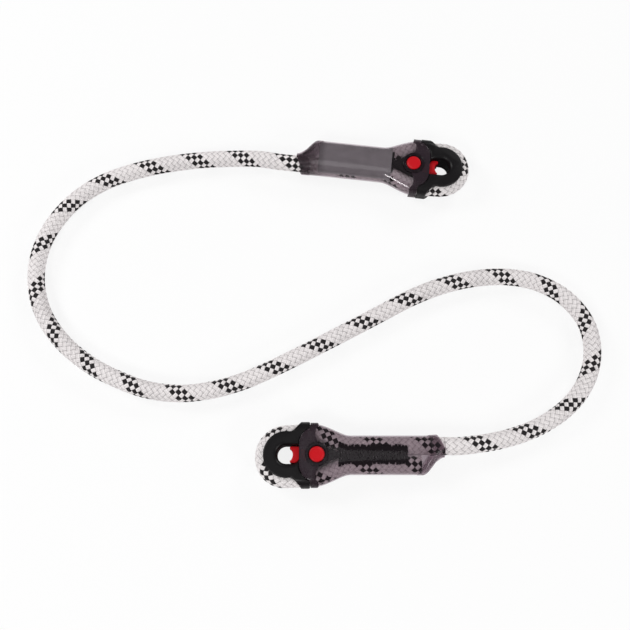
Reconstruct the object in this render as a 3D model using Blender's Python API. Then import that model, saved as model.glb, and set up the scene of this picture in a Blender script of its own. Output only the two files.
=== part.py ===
"""Tree climbing lanyard, modelled at its real size in metres, +Z up, lying flat.

A braided rope ends at each side in a sewn eye. The eye holds a moulded thimble, the sewn legs
lie in a smoked plastic sleeve, and a red keeper locked by two sprung push buttons closes the
eye on the connector. Each terminal is modelled in its own frame: the origin is the middle of
the connector eye, +X runs along the terminal to the rope's mouth, and z = 0 is the mid plane.
Both terminals share their meshes, and each hangs on its own empty.
"""

import math

import bmesh
import bpy
from mathutils import Matrix, Vector

# Fits
FIT_GAP = 0.0003
CUT_OVERRUN = 0.001

# Rope
ROPE_DIAMETER = 0.011
LEG_GAP = 0.00025
LEG_BEND_START = 0.01
LEG_BEND_END = 0.039
LEG_BEND_EXPONENT = 1.25

# Thimble
EYE_RADIUS = 0.0056
EYE_WALL = 0.0021
EYE_RIM_ROUNDING = 0.0026
CHEEK_RISE = 0.0025
FLANGE_COVER = 0.0005
FLANGE_EDGE_ROUNDING = 0.0009
EAR_WALL = 0.0007
EAR_FRONT = 0.0092
EAR_LENGTH = 0.0052
SECTION_CORNER = 0.006
FLARE_ANGLE = math.radians(52)
FLARE_START_ANGLE = math.radians(80)
SHOULDER_REACH = 0.0074
SHOULDER_DROP = 0.004
SHOULDER_INSET = 0.0007
SHOULDER_SEAM = 0.0005
TAIL_CLEARANCE = 0.00055
TAIL_SIDE_INSET = 0.0045
TAIL_WAIST = 0.0242
TAIL_WAIST_HALF_WIDTH = 0.0066
TAIL_TIP = 0.0302
TAIL_TIP_HALF_WIDTH = 0.0008

# Keeper
KEEPER_TRAVEL = 0.0036
KEEPER_SIDE_GAP = 0.0006
SEAT_RADIUS = 0.0054
SEAT_DEPTH = 0.0039
SEAT_TIP_REACH = 0.0021
SEAT_HORN_RADIUS = 0.0011
KEEPER_HEAD_THICKNESS = 0.0092
KEEPER_HEAD_LENGTH = 0.006
TONGUE_THICKNESS = 0.0052
TONGUE_WALL = 0.0012
KEEPER_EDGE_ROUNDING = 0.0004

# Push buttons and their spring
BUTTON_REACH = 0.0185
BUTTON_RADIUS = 0.00465
BUTTON_TRAVEL = 0.0012
BUTTON_RECESS = 0.0003
BUTTON_DISH = 0.0004
BUTTON_EDGE_ROUNDING = 0.0005
COLLAR_LIP = 0.001
COLLAR_THICKNESS = 0.0009
COLLAR_CLEARANCE = 0.0004
STEM_RADIUS = 0.0018
STEM_BORE_RADIUS = 0.0013
STEM_BORE_DEPTH = 0.003
STEM_END = 0.0019
SPRING_WIRE = 0.0004
SPRING_RADIUS = 0.0008
SPRING_TURNS = 7

# Sleeve
SLEEVE_WALL = 0.0009
SLEEVE_SIDE_WALL = 0.0006
SLEEVE_START = 0.0152
MOUTH = 0.0962
MOUTH_WALL = 0.0011
MOUTH_CUT_SIDE = 0.003
YOKE_RISE = 0.0004
YOKE_SIDE_INSET = 0.0005
YOKE_BAND_END = 0.0196
YOKE_EDGE_ROUNDING = 0.0005
YOKE_WAIST_REACH = 0.0163
YOKE_WAIST_INSET = 0.001
RING_RADIUS = 0.0071
RING_RISE = 0.0008
RING_HOLE_GAP = 0.00025
RING_COUNTERSINK = 0.0007
COLLAR_BAND_RISE = 0.0005
COLLAR_BAND_KNEE_OFFSET = 0.0025

# How far each of these lies before the sleeve's mouth
TAPER_START_TO_MOUTH = 0.013
TAPER_END_TO_MOUTH = 0.001
CUT_TOP_TO_MOUTH = 0.0047
BAND_TOP_TO_MOUTH = 0.0094
BAND_KNEE_TO_MOUTH = 0.0074
BAND_HEEL_TO_MOUTH = 0.0174
TAIL_END_TO_MOUTH = 0.0177
STITCH_END_TO_MOUTH = 0.0227
LABEL_END_TO_MOUTH = 0.0192

# Sewing and label
STITCH_START = 0.0315
STITCH_WRAP_ANGLE = math.radians(84)
STITCH_DIP_ANGLE = math.radians(50)
STITCH_THICKNESS = 0.00035
LABEL_START = 0.0325
LABEL_THICKNESS = 0.0002
LABEL_WRAP_ANGLE = math.radians(38)

# Facets
ROPE_BEVEL_RESOLUTION = 3
ROPE_EYE_BEVEL_RESOLUTION = 4
LOOP_STEPS = 12
LEG_BEND_STEPS = 7
TAPER_STEPS = 6
SECTION_POINTS = 20
CIRCLE_POINTS = 20
SPRING_POINTS_PER_TURN = 8

# Where each terminal lies: the eye's place and the way its +X points
EYE_A_X = 0.0507
EYE_A_Y = 0.0932
EYE_B_X = -0.0505
EYE_B_Y = -0.0955
TERMINALS = {
    "a": {"eye": (EYE_A_X, EYE_A_Y), "turn": math.radians(173.4)},
    "b": {"eye": (EYE_B_X, EYE_B_Y), "turn": 0.0},
}

# The free rope's route, from the mouth of terminal a to the mouth of terminal b
FREE_ROUTE = [
    (-0.0717, 0.1032, 0.0068),
    (-0.0936, 0.1038, 0.0057),
    (-0.1152, 0.1024, 0.0056),
    (-0.1366, 0.0991, 0.0056),
    (-0.1574, 0.0938, 0.0056),
    (-0.1771, 0.0856, 0.0056),
    (-0.1941, 0.0728, 0.0056),
    (-0.2069, 0.0557, 0.0056),
    (-0.2142, 0.0355, 0.0056),
    (-0.2142, 0.0136, 0.0056),
    (-0.2069, -0.0071, 0.0056),
    (-0.1936, -0.0243, 0.0056),
    (-0.1770, -0.0377, 0.0056),
    (-0.1585, -0.0474, 0.0056),
    (-0.1392, -0.0543, 0.0056),
    (-0.1190, -0.0569, 0.0056),
    (-0.0991, -0.0549, 0.0056),
    (-0.0798, -0.0496, 0.0056),
    (-0.0613, -0.0416, 0.0056),
    (-0.0431, -0.0326, 0.0056),
    (-0.0249, -0.0231, 0.0056),
    (-0.0066, -0.0135, 0.0056),
    (0.0118, -0.0036, 0.0056),
    (0.0305, 0.0062, 0.0056),
    (0.0502, 0.0139, 0.0056),
    (0.0708, 0.0186, 0.0056),
    (0.0917, 0.0197, 0.0056),
    (0.1119, 0.0157, 0.0056),
    (0.1292, 0.0052, 0.0056),
    (0.1409, -0.0113, 0.0056),
    (0.1432, -0.0318, 0.0056),
    (0.1362, -0.0516, 0.0056),
    (0.1223, -0.0673, 0.0056),
    (0.1047, -0.0781, 0.0057),
    (0.0857, -0.0849, 0.0061),
]
FREE_ROUTE_STEP_IN_DIAMETERS = 2.0
MOUTH_STRAIGHT_IN_DIAMETERS = 1.0

# Sizes that follow from the ones above
ROPE_RADIUS = ROPE_DIAMETER / 2
LOOP_RADIUS = EYE_RADIUS + EYE_WALL + FIT_GAP + ROPE_RADIUS
LEG_SPREAD = ROPE_RADIUS + LEG_GAP / 2
FLANGE_RADIUS = LOOP_RADIUS + FLANGE_COVER
EAR_HALF_WIDTH = LOOP_RADIUS + ROPE_RADIUS + FIT_GAP + EAR_WALL
THIMBLE_THICKNESS = ROPE_DIAMETER + 2 * CHEEK_RISE
TAIL_END = MOUTH - TAIL_END_TO_MOUTH
TAIL_HALF_WIDTH = LOOP_RADIUS - TAIL_SIDE_INSET
SLOT_HALF_WIDTH = STEM_RADIUS + FIT_GAP
TONGUE_HALF_WIDTH = SLOT_HALF_WIDTH + TONGUE_WALL
TONGUE_END = BUTTON_REACH + SLOT_HALF_WIDTH + TONGUE_WALL
KEEPER_HALF_WIDTH = EYE_RADIUS - KEEPER_SIDE_GAP
CONNECTOR_SLOT_END = SEAT_TIP_REACH + KEEPER_HEAD_LENGTH + KEEPER_TRAVEL + FIT_GAP
CAVITY_HALF_THICKNESS = ROPE_RADIUS + STITCH_THICKNESS + LABEL_THICKNESS + 3 * FIT_GAP
TAIL_HALF_THICKNESS = CAVITY_HALF_THICKNESS - TAIL_CLEARANCE
SLEEVE_HALF_THICKNESS = CAVITY_HALF_THICKNESS + SLEEVE_WALL
YOKE_HALF_THICKNESS = SLEEVE_HALF_THICKNESS + YOKE_RISE
TERMINAL_HALF_THICKNESS = YOKE_HALF_THICKNESS + RING_RISE
YOKE_HALF_WIDTH = EAR_HALF_WIDTH - YOKE_SIDE_INSET
YOKE_WAIST_OFFSET = LOOP_RADIUS - YOKE_WAIST_INSET
TAPER_START = MOUTH - TAPER_START_TO_MOUTH
TAPER_END = MOUTH - TAPER_END_TO_MOUTH
MOUTH_CUT_TOP = MOUTH - CUT_TOP_TO_MOUTH
COLLAR_BAND_TOP = MOUTH - BAND_TOP_TO_MOUTH
COLLAR_BAND_KNEE = MOUTH - BAND_KNEE_TO_MOUTH
COLLAR_BAND_HEEL = MOUTH - BAND_HEEL_TO_MOUTH
STITCH_END = MOUTH - STITCH_END_TO_MOUTH
LABEL_END = MOUTH - LABEL_END_TO_MOUTH
COLLAR_TOP = CAVITY_HALF_THICKNESS - COLLAR_CLEARANCE
COUNTERBORE_RADIUS = BUTTON_RADIUS + COLLAR_LIP + FIT_GAP
COUNTERBORE_FLOOR = COLLAR_TOP - COLLAR_THICKNESS - BUTTON_TRAVEL - FIT_GAP

COLOURS = {
    "rope_white": ((0.82, 0.80, 0.80, 1.0), 0.85),
    "thimble_black": ((0.012, 0.012, 0.013, 1.0), 0.42),
    "smoked_sleeve": ((0.13, 0.11, 0.12, 0.55), 0.18),
    "keeper_red": ((0.68, 0.012, 0.018, 1.0), 0.38),
    "stitch_black": ((0.01, 0.01, 0.012, 1.0), 0.8),
    "label_grey": ((0.42, 0.40, 0.41, 1.0), 0.5),
    "spring_steel": ((0.55, 0.55, 0.57, 1.0), 0.3),
}


def clear_scene():
    """Removes the startup scene's objects."""
    for obj in list(bpy.data.objects):
        bpy.data.objects.remove(obj, do_unlink=True)


def make_material(name):
    """A Principled material with the colour and roughness of one finish."""
    colour, roughness = COLOURS[name]
    material = bpy.data.materials.new(name)
    material.use_nodes = True
    shader = material.node_tree.nodes["Principled BSDF"]
    shader.inputs["Base Color"].default_value = (*colour[:3], 1.0)
    shader.inputs["Alpha"].default_value = colour[3]
    shader.inputs["Roughness"].default_value = roughness
    shader.inputs["Metallic"].default_value = 1.0 if name == "spring_steel" else 0.0
    return material


def smoothstep(share):
    """Eases 0..1 with level ends."""
    share = min(max(share, 0.0), 1.0)
    return share * share * (3 - 2 * share)


def arc(centre, radius, start, end, steps):
    """Points along a circular arc, from one angle to the other, both ends included."""
    angles = [start + (end - start) * i / steps for i in range(steps + 1)]
    return [(centre[0] + radius * math.cos(a), centre[1] + radius * math.sin(a)) for a in angles]


def bend(start, control, end, steps):
    """Points along a quadratic curve that leaves start and reaches end towards control."""
    points = []
    for i in range(steps + 1):
        t = i / steps
        points.append(tuple(
            (1 - t) ** 2 * a + 2 * t * (1 - t) * c + t * t * b
            for a, c, b in zip(start, control, end)
        ))
    return points


def mirrored(points):
    """An outline from its +Y half: the half, then its mirror image in reverse order."""
    lower = [(x, -y) for x, y in reversed(points) if abs(y) > 1e-9]
    return points + lower


def object_from(name, bm):
    """A mesh object from a bmesh, with its faces pointing out."""
    bmesh.ops.recalc_face_normals(bm, faces=bm.faces)
    mesh = bpy.data.meshes.new(name)
    bm.to_mesh(mesh)
    bm.free()
    obj = bpy.data.objects.new(name, mesh)
    bpy.context.scene.collection.objects.link(obj)
    return obj


def prism(name, outline, low, high, rounding=0.0):
    """An outline in the XY plane raised from low to high, its two rims rounded."""
    bm = bmesh.new()
    base = bm.faces.new([bm.verts.new((x, y, low)) for x, y in outline])
    raised = bmesh.ops.extrude_face_region(bm, geom=[base])
    top = [v for v in raised["geom"] if isinstance(v, bmesh.types.BMVert)]
    bmesh.ops.translate(bm, verts=top, vec=(0, 0, high - low))
    if rounding:
        rims = [e for e in bm.edges if abs(e.verts[0].co.z - e.verts[1].co.z) < FIT_GAP / 10]
        bmesh.ops.bevel(bm, geom=rims, offset=rounding, segments=2, profile=0.5, affect="EDGES", material=-1)
    return object_from(name, bm)


def loft(name, rings):
    """A closed solid through rings that all have the same number of points."""
    bm = bmesh.new()
    loops = []
    for ring in rings:
        verts = [bm.verts.new(point) for point in ring]
        loops.append([bm.edges.new((verts[i - 1], verts[i])) for i in range(len(verts))])
    for first, second in zip(loops, loops[1:]):
        bmesh.ops.bridge_loops(bm, edges=first + second)
    for ends in (loops[0], loops[-1]):
        bmesh.ops.contextual_create(bm, geom=ends)
    return object_from(name, bm)


def turned(name, profile, centre_x=0.0, points=CIRCLE_POINTS):
    """A solid spun about the line parallel to Z through centre_x, from (radius, z) points.

    The profile is closed on the axis at both of its ends.
    """
    line = [(0.0, profile[0][1]), *profile, (0.0, profile[-1][1])]
    bm = bmesh.new()
    verts = [bm.verts.new((centre_x + radius, 0, z)) for radius, z in line]
    edges = [bm.edges.new(pair) for pair in zip(verts, verts[1:])]
    middle, up = (centre_x, 0, 0), (0, 0, 1)
    bmesh.ops.spin(
        bm, geom=verts + edges, cent=middle, axis=up, angle=math.tau, steps=points, use_merge=True
    )
    bmesh.ops.remove_doubles(bm, verts=bm.verts, dist=FIT_GAP / 100)
    return object_from(name, bm)


def tube_curve(name, points, radius, resolution):
    """A round rope along points, as a curve with a bevel and filled caps."""
    curve = bpy.data.curves.new(name, "CURVE")
    curve.dimensions = "3D"
    spline = curve.splines.new("POLY")
    spline.points.add(len(points) - 1)
    for slot, point in zip(spline.points, points):
        slot.co = (*point, 1.0)
    curve.bevel_depth = radius
    curve.bevel_resolution = resolution
    curve.use_fill_caps = True
    return curve


def tube_solid(name, points, radius, resolution):
    """The same tube as a closed mesh, for cutting its seat out of another piece."""
    holder = bpy.data.objects.new(name, tube_curve(name, points, radius, resolution))
    mesh = bpy.data.meshes.new_from_object(holder)
    bpy.data.objects.remove(holder)
    bm = bmesh.new()
    bm.from_mesh(mesh)
    bmesh.ops.remove_doubles(bm, verts=bm.verts, dist=FIT_GAP / 100)
    bpy.data.meshes.remove(mesh)
    return object_from(name, bm)


def combine(target, other, operation):
    """Adds a Boolean of other to target and keeps other out of the render."""
    modifier = target.modifiers.new(other.name, "BOOLEAN")
    modifier.operation = operation
    modifier.object = other
    other.hide_render = True
    other.display_type = "WIRE"
    return target


def finished_mesh(obj, name, sharp_angle=math.radians(35)):
    """The evaluated solid of an object as a mesh of its own, shaded smooth between sharp edges."""
    bpy.context.view_layer.update()
    graph = bpy.context.evaluated_depsgraph_get()
    mesh = bpy.data.meshes.new_from_object(obj.evaluated_get(graph))
    mesh.name = name
    mesh.shade_smooth()
    mesh.set_sharp_from_angle(angle=sharp_angle)
    return mesh


def leg_offset(x):
    """How far each rope leg's centreline lies from the terminal's axis at x."""
    share = max(x - LEG_BEND_START, 0.0) / (LEG_BEND_END - LEG_BEND_START)
    return LOOP_RADIUS + (LEG_SPREAD - LOOP_RADIUS) * smoothstep(min(share, 1.0) ** LEG_BEND_EXPONENT)


def leg_half_width(x):
    """Half the width of the slanting rope leg, measured square to the terminal's axis."""
    step = ROPE_RADIUS / 20
    slope = (leg_offset(x + step) - leg_offset(x - step)) / (2 * step)
    return ROPE_RADIUS * math.hypot(1.0, slope)


def eye_route(start, end):
    """The rope in a terminal: in along the standing leg, round the eye and back along the tail."""
    bend_x = [
        LEG_BEND_START + (LEG_BEND_END - LEG_BEND_START) * i / LEG_BEND_STEPS
        for i in range(LEG_BEND_STEPS, -1, -1)
    ]
    straight = [start, (start + LEG_BEND_END) / 2]
    standing = [(x, leg_offset(x), 0.0) for x in straight + bend_x]
    loop = [(x, y, 0.0) for x, y in arc((0, 0), LOOP_RADIUS, math.pi / 2, 3 * math.pi / 2, LOOP_STEPS)]
    tail = [(x, -leg_offset(x), 0.0) for x in list(reversed(bend_x)) + [end]]
    return standing + loop + tail


def section_ring(x, low_centre, high_centre, across, up):
    """A cross-section of the sleeve in the plane at x: two half ellipses joined by flats."""
    half = SECTION_POINTS // 2
    ring = []
    for centre, first in ((high_centre, -math.pi / 2), (low_centre, math.pi / 2)):
        for i in range(half):
            angle = first + math.pi * (i + 0.5) / half
            ring.append((x, centre + across * math.cos(angle), up * math.sin(angle)))
    return ring


def sleeve_rings(start, end, side_grow=0.0, face_grow=0.0):
    """The sleeve's cross-sections from start to end, its sides and faces moved out by the two grows."""
    wide = [start + (LEG_BEND_END - start) * i / LEG_BEND_STEPS for i in range(LEG_BEND_STEPS + 1)]
    taper = [TAPER_START + (TAPER_END - TAPER_START) * i / TAPER_STEPS for i in range(TAPER_STEPS + 1)]
    mouth_radius = ROPE_RADIUS + FIT_GAP + MOUTH_WALL
    rings = []
    for x in [x for x in wide + taper if start <= x < end] + [end]:
        share = smoothstep((x - TAPER_START) / (TAPER_END - TAPER_START))
        offset = leg_offset(x)
        low = -offset + (LEG_SPREAD + offset) * share
        across = leg_half_width(x) + FIT_GAP + SLEEVE_SIDE_WALL
        across += (mouth_radius - across) * share
        up = SLEEVE_HALF_THICKNESS + (mouth_radius - SLEEVE_HALF_THICKNESS) * share
        rings.append(section_ring(x, low, offset, across + side_grow, up + face_grow))
    return rings


def rounded_section(name, start, end, half_width, half_thickness):
    """A bar along X whose cross-section is a rectangle with round corners."""
    steps = SECTION_POINTS // 4
    corner = min(SECTION_CORNER, half_thickness)
    centre = (half_width - corner, half_thickness - corner)
    quarter = arc(centre, corner, 0, math.pi / 2, steps)
    half = quarter + [(-y, z) for y, z in reversed(quarter)]
    outline = half + [(y, -z) for y, z in reversed(half)]
    return loft(name, [[(x, y, z) for y, z in outline] for x in (start, end)])


def shoulder_edge(shift):
    """The curved seam between the thimble's face and the sleeve's yoke, from the ear inwards."""
    ear_end = EAR_FRONT + EAR_LENGTH + shift
    start = (ear_end, EAR_HALF_WIDTH - SHOULDER_DROP)
    control = (SHOULDER_REACH + shift, LOOP_RADIUS - SHOULDER_INSET)
    return bend(start, control, (SHOULDER_REACH + shift, KEEPER_HALF_WIDTH), 7)


def thimble_face_outline():
    """The thimble's face: round the eye, out along the flare, over the ear and in along the seam."""
    corner = (EAR_FRONT, EAR_HALF_WIDTH)
    run = (EAR_HALF_WIDTH - FLANGE_RADIUS) / math.tan(FLARE_ANGLE)
    round_front = arc((0, 0), FLANGE_RADIUS, math.pi, FLARE_START_ANGLE, 11)
    flare = bend(round_front[-1], (EAR_FRONT - run, FLANGE_RADIUS), corner, 4)[1:]
    ear = [(EAR_FRONT + EAR_LENGTH, EAR_HALF_WIDTH)]
    return mirrored(round_front + flare + ear + shoulder_edge(0.0))


def connector_slot(name):
    """The cutter of the connector's eye: a round-ended slot that opens out towards both faces."""
    half, rounding, steps = THIMBLE_THICKNESS / 2, EYE_RIM_ROUNDING, 4
    levels = [(half + CUT_OVERRUN, rounding)]
    for i in range(steps + 1):
        angle = math.pi / 2 * (1 - i / steps)
        levels.append((half - rounding * (1 - math.sin(angle)), rounding * (1 - math.cos(angle))))
    levels += [(-z, grow) for z, grow in reversed(levels)]
    rings = []
    for z, grow in levels:
        radius = EYE_RADIUS + grow
        outline = arc((0, 0), radius, math.pi / 2, 3 * math.pi / 2, 14)
        outline += [(CONNECTOR_SLOT_END, -radius), (CONNECTOR_SLOT_END, radius)]
        rings.append([(x, y, z) for x, y in outline])
    return loft(name, rings)


def rounded_bar_outline(start, end, half_width):
    """A bar with a square start and a round end."""
    tip = arc((end - half_width, 0), half_width, -math.pi / 2, math.pi / 2, 8)
    return [(start, half_width), (start, -half_width)] + tip


def build_thimble():
    """The moulded thimble with its rope groove, ears, connector slot and keeper pocket."""
    half, tail_half = THIMBLE_THICKNESS / 2, TAIL_HALF_THICKNESS
    body = prism("thimble", thimble_face_outline(), -half, half, FLANGE_EDGE_ROUNDING)
    reach = EAR_FRONT + EAR_LENGTH + CUT_OVERRUN
    section = rounded_section("ear_rounding", -FLANGE_RADIUS - CUT_OVERRUN, reach, EAR_HALF_WIDTH, half)
    combine(body, section, "INTERSECT")
    tail = mirrored([
        (0, TAIL_HALF_WIDTH),
        (BUTTON_REACH, TAIL_HALF_WIDTH),
        (TAIL_WAIST, TAIL_WAIST_HALF_WIDTH),
        (TAIL_TIP, TAIL_TIP_HALF_WIDTH),
    ])
    combine(body, prism("tail", tail, -tail_half, tail_half), "UNION")
    groove = tube_solid(
        "rope_groove", eye_route(MOUTH, TAIL_END), ROPE_RADIUS + FIT_GAP, ROPE_EYE_BEVEL_RESOLUTION
    )
    combine(body, groove, "DIFFERENCE")
    combine(body, connector_slot("connector_slot"), "DIFFERENCE")
    pocket_half = TONGUE_THICKNESS / 2 + FIT_GAP
    pocket = rounded_bar_outline(0, TONGUE_END + KEEPER_TRAVEL + FIT_GAP, TONGUE_HALF_WIDTH + FIT_GAP)
    combine(body, prism("tongue_pocket", pocket, -pocket_half, pocket_half), "DIFFERENCE")
    outside = THIMBLE_THICKNESS / 2 + CUT_OVERRUN
    for side in (-1, 1):
        bore = turned("button_bore", [
            (COUNTERBORE_RADIUS, side * outside),
            (COUNTERBORE_RADIUS, side * COUNTERBORE_FLOOR),
            (STEM_RADIUS + FIT_GAP, side * COUNTERBORE_FLOOR),
            (STEM_RADIUS + FIT_GAP, 0.0),
        ], BUTTON_REACH)
        combine(body, bore, "DIFFERENCE")
    return finished_mesh(body, "thimble")


def keeper_head_outline():
    """The keeper's head from above: a hollow seat between two horns, and an arm on its +Y side."""
    seat_centre = SEAT_DEPTH - SEAT_RADIUS
    horn = KEEPER_HALF_WIDTH - SEAT_HORN_RADIUS
    horn_x = SEAT_TIP_REACH + SEAT_HORN_RADIUS
    opening = math.asin((horn - SEAT_HORN_RADIUS / 2) / SEAT_RADIUS)
    seat = arc((seat_centre, 0), SEAT_RADIUS, -opening, opening, 8)
    upper = arc((horn_x, horn), SEAT_HORN_RADIUS, math.pi * 1.1, math.pi / 2, 4)
    back_x = SEAT_TIP_REACH + KEEPER_HEAD_LENGTH
    arm = [(back_x, KEEPER_HALF_WIDTH), (back_x, 0)]
    back = bend((back_x, 0), (back_x, -KEEPER_HALF_WIDTH), (horn_x + SEAT_HORN_RADIUS, -KEEPER_HALF_WIDTH), 5)
    lower = arc((horn_x, -horn), SEAT_HORN_RADIUS, -math.pi / 2, -math.pi * 1.1, 4)
    return seat + upper + arm + back[1:] + lower


def build_keeper():
    """The red keeper: a seat for the connector and a slotted tongue round the button stems."""
    head_half, tongue_half = KEEPER_HEAD_THICKNESS / 2, TONGUE_THICKNESS / 2
    head = prism("keeper", keeper_head_outline(), -head_half, head_half, KEEPER_EDGE_ROUNDING)
    tongue_start = SEAT_DEPTH + TONGUE_WALL
    tongue = prism(
        "tongue", rounded_bar_outline(tongue_start, TONGUE_END, TONGUE_HALF_WIDTH), -tongue_half, tongue_half
    )
    combine(head, tongue, "UNION")
    slot_start = BUTTON_REACH - KEEPER_TRAVEL
    slot = arc((BUTTON_REACH, 0), SLOT_HALF_WIDTH, -math.pi / 2, math.pi / 2, 8)
    slot += arc((slot_start, 0), SLOT_HALF_WIDTH, math.pi / 2, 3 * math.pi / 2, 8)
    cutter = prism("stem_slot", slot, -tongue_half - CUT_OVERRUN, tongue_half + CUT_OVERRUN)
    combine(head, cutter, "DIFFERENCE")
    return finished_mesh(head, "keeper")


def build_button():
    """A push button about its own axis: dished cap, retaining collar and bored stem."""
    top = TERMINAL_HALF_THICKNESS - BUTTON_RECESS
    collar_radius = BUTTON_RADIUS + COLLAR_LIP
    collar_low = COLLAR_TOP - COLLAR_THICKNESS
    bore_end = STEM_END + STEM_BORE_DEPTH
    edge = BUTTON_EDGE_ROUNDING
    profile = [
        (STEM_BORE_RADIUS, bore_end),
        (STEM_BORE_RADIUS, STEM_END),
        (STEM_RADIUS, STEM_END),
        (STEM_RADIUS, collar_low),
        (collar_radius, collar_low),
        (collar_radius, COLLAR_TOP),
        (BUTTON_RADIUS, COLLAR_TOP),
        (BUTTON_RADIUS, top - edge),
        (BUTTON_RADIUS - edge / 3, top - edge / 3),
        (BUTTON_RADIUS - edge, top),
        (BUTTON_RADIUS - 2 * edge, top - BUTTON_DISH / 2),
        (BUTTON_RADIUS / 2, top - BUTTON_DISH),
    ]
    return finished_mesh(turned("button", profile), "button")


def build_sleeve():
    """The smoked sleeve: body, yoke round the button, mouth collar, and the room inside."""
    body = loft("sleeve", sleeve_rings(SLEEVE_START, MOUTH))
    yoke_half = YOKE_HALF_THICKNESS
    band = [(YOKE_BAND_END, YOKE_HALF_WIDTH), (YOKE_BAND_END, YOKE_HALF_WIDTH - EAR_WALL)]
    waist = bend(
        (YOKE_BAND_END, YOKE_HALF_WIDTH - EAR_WALL),
        (YOKE_WAIST_REACH - EAR_WALL, YOKE_WAIST_OFFSET),
        (YOKE_BAND_END, RING_RADIUS),
        5,
    )[1:]
    front = [(SLEEVE_START, YOKE_HALF_WIDTH), *shoulder_edge(SHOULDER_SEAM)]
    outline = mirrored(list(reversed(front)) + band + waist)
    yoke = prism("yoke", outline, -yoke_half, yoke_half, YOKE_EDGE_ROUNDING)
    section = rounded_section(
        "yoke_rounding", SHOULDER_REACH, YOKE_BAND_END + CUT_OVERRUN, YOKE_HALF_WIDTH, yoke_half
    )
    combine(yoke, section, "INTERSECT")
    combine(body, yoke, "UNION")
    ring = [
        (RING_RADIUS, -TERMINAL_HALF_THICKNESS + RING_RISE / 2),
        (RING_RADIUS - RING_RISE / 2, -TERMINAL_HALF_THICKNESS),
    ]
    ring = list(reversed(ring)) + [(radius, -z) for radius, z in ring]
    combine(body, turned("ring", ring, BUTTON_REACH), "UNION")
    combine(body, build_mouth_collar(), "UNION")

    cavity_rings = sleeve_rings(
        SHOULDER_REACH - CUT_OVERRUN, MOUTH + CUT_OVERRUN, -SLEEVE_SIDE_WALL, -SLEEVE_WALL
    )
    combine(body, loft("cavity", cavity_rings), "DIFFERENCE")
    bore = [(x, LEG_SPREAD, 0.0) for x in (TAPER_START, MOUTH + CUT_OVERRUN)]
    bore_cutter = tube_solid("rope_bore", bore, ROPE_RADIUS + FIT_GAP, ROPE_EYE_BEVEL_RESOLUTION)
    combine(body, bore_cutter, "DIFFERENCE")
    hole = BUTTON_RADIUS + RING_HOLE_GAP
    outside = TERMINAL_HALF_THICKNESS + CUT_OVERRUN
    bored = [
        (hole + RING_COUNTERSINK + CUT_OVERRUN, outside),
        (hole, TERMINAL_HALF_THICKNESS - RING_COUNTERSINK),
    ]
    bored = [*bored, *[(radius, -z) for radius, z in reversed(bored)]]
    combine(body, turned("button_hole", bored, BUTTON_REACH), "DIFFERENCE")
    combine(body, build_mouth_cutter(), "DIFFERENCE")
    return finished_mesh(body, "sleeve")


def build_mouth_collar():
    """The thicker collar that follows the slanting end of the sleeve."""
    collar_rings = sleeve_rings(
        COLLAR_BAND_HEEL - CUT_OVERRUN, MOUTH, COLLAR_BAND_RISE, COLLAR_BAND_RISE
    )
    collar = loft("mouth_collar", collar_rings)
    side = LEG_SPREAD + ROPE_RADIUS + FIT_GAP + SLEEVE_WALL + COLLAR_BAND_RISE + CUT_OVERRUN
    band = [
        (COLLAR_BAND_TOP, side),
        (COLLAR_BAND_TOP, LEG_SPREAD + ROPE_RADIUS / 2),
        (COLLAR_BAND_KNEE, COLLAR_BAND_KNEE_OFFSET),
        (COLLAR_BAND_HEEL, -side),
        (MOUTH + CUT_OVERRUN, -side),
        (MOUTH + CUT_OVERRUN, side),
    ]
    reach = TERMINAL_HALF_THICKNESS
    return combine(collar, prism("collar_band", band, -reach, reach), "INTERSECT")


def build_mouth_cutter():
    """The wedge that cuts the mouth off at a slant."""
    side = LEG_SPREAD + ROPE_RADIUS + FIT_GAP + SLEEVE_WALL + COLLAR_BAND_RISE + CUT_OVERRUN
    wedge = [
        (MOUTH_CUT_TOP, side),
        (MOUTH, MOUTH_CUT_SIDE),
        (MOUTH + 2 * CUT_OVERRUN, MOUTH_CUT_SIDE),
        (MOUTH + 2 * CUT_OVERRUN, side),
    ]
    return prism("mouth_wedge", wedge, -TERMINAL_HALF_THICKNESS, TERMINAL_HALF_THICKNESS)


def pad_section(x, across, up, thickness, edge, bridge):
    """A thin pad over both rope legs at x: down their outsides to the edge angle, straight between.

    The pad's outer face is elliptical round each leg, across and up from the leg's middle.
    """
    steps = 4

    def half(shrink, past_top):
        angles = [edge + (math.pi / 2 + past_top - edge) * i / steps for i in range(steps + 1)]
        reach, rise = across - shrink, up - shrink
        return [(leg_offset(x) + reach * math.cos(a), rise * math.sin(a)) for a in angles]

    over, under = half(0.0, 0.0), half(thickness, bridge)
    top = over + [(-y, z) for y, z in reversed(over)]
    bottom = under + [(-y, z) for y, z in reversed(under)]
    return [(x, y, z) for y, z in top + list(reversed(bottom))]


def pad_solid(name, start, end, *section):
    """A pad run along both legs from start to end, following them where they spread."""
    steps = 3
    spread = [start + (LEG_BEND_END - start) * i / steps for i in range(steps + 1)]
    return loft(name, [pad_section(x, *section) for x in spread + [end]])


def build_stitching():
    """The block of sewing over the front of both legs, dipping into the valley between them."""
    outside = ROPE_RADIUS + FIT_GAP + STITCH_THICKNESS
    section = (outside, outside, STITCH_THICKNESS, STITCH_WRAP_ANGLE, STITCH_DIP_ANGLE)
    return finished_mesh(pad_solid("stitching", STITCH_START, STITCH_END, *section), "stitching")


def build_label():
    """The label film that lies over the sewing, against the inside of the sleeve's front."""
    across, up = ROPE_RADIUS + LABEL_THICKNESS, CAVITY_HALF_THICKNESS - FIT_GAP
    section = (across, up, LABEL_THICKNESS, LABEL_WRAP_ANGLE, 0.0)
    return finished_mesh(pad_solid("label", LABEL_START, LABEL_END, *section), "label")


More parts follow.
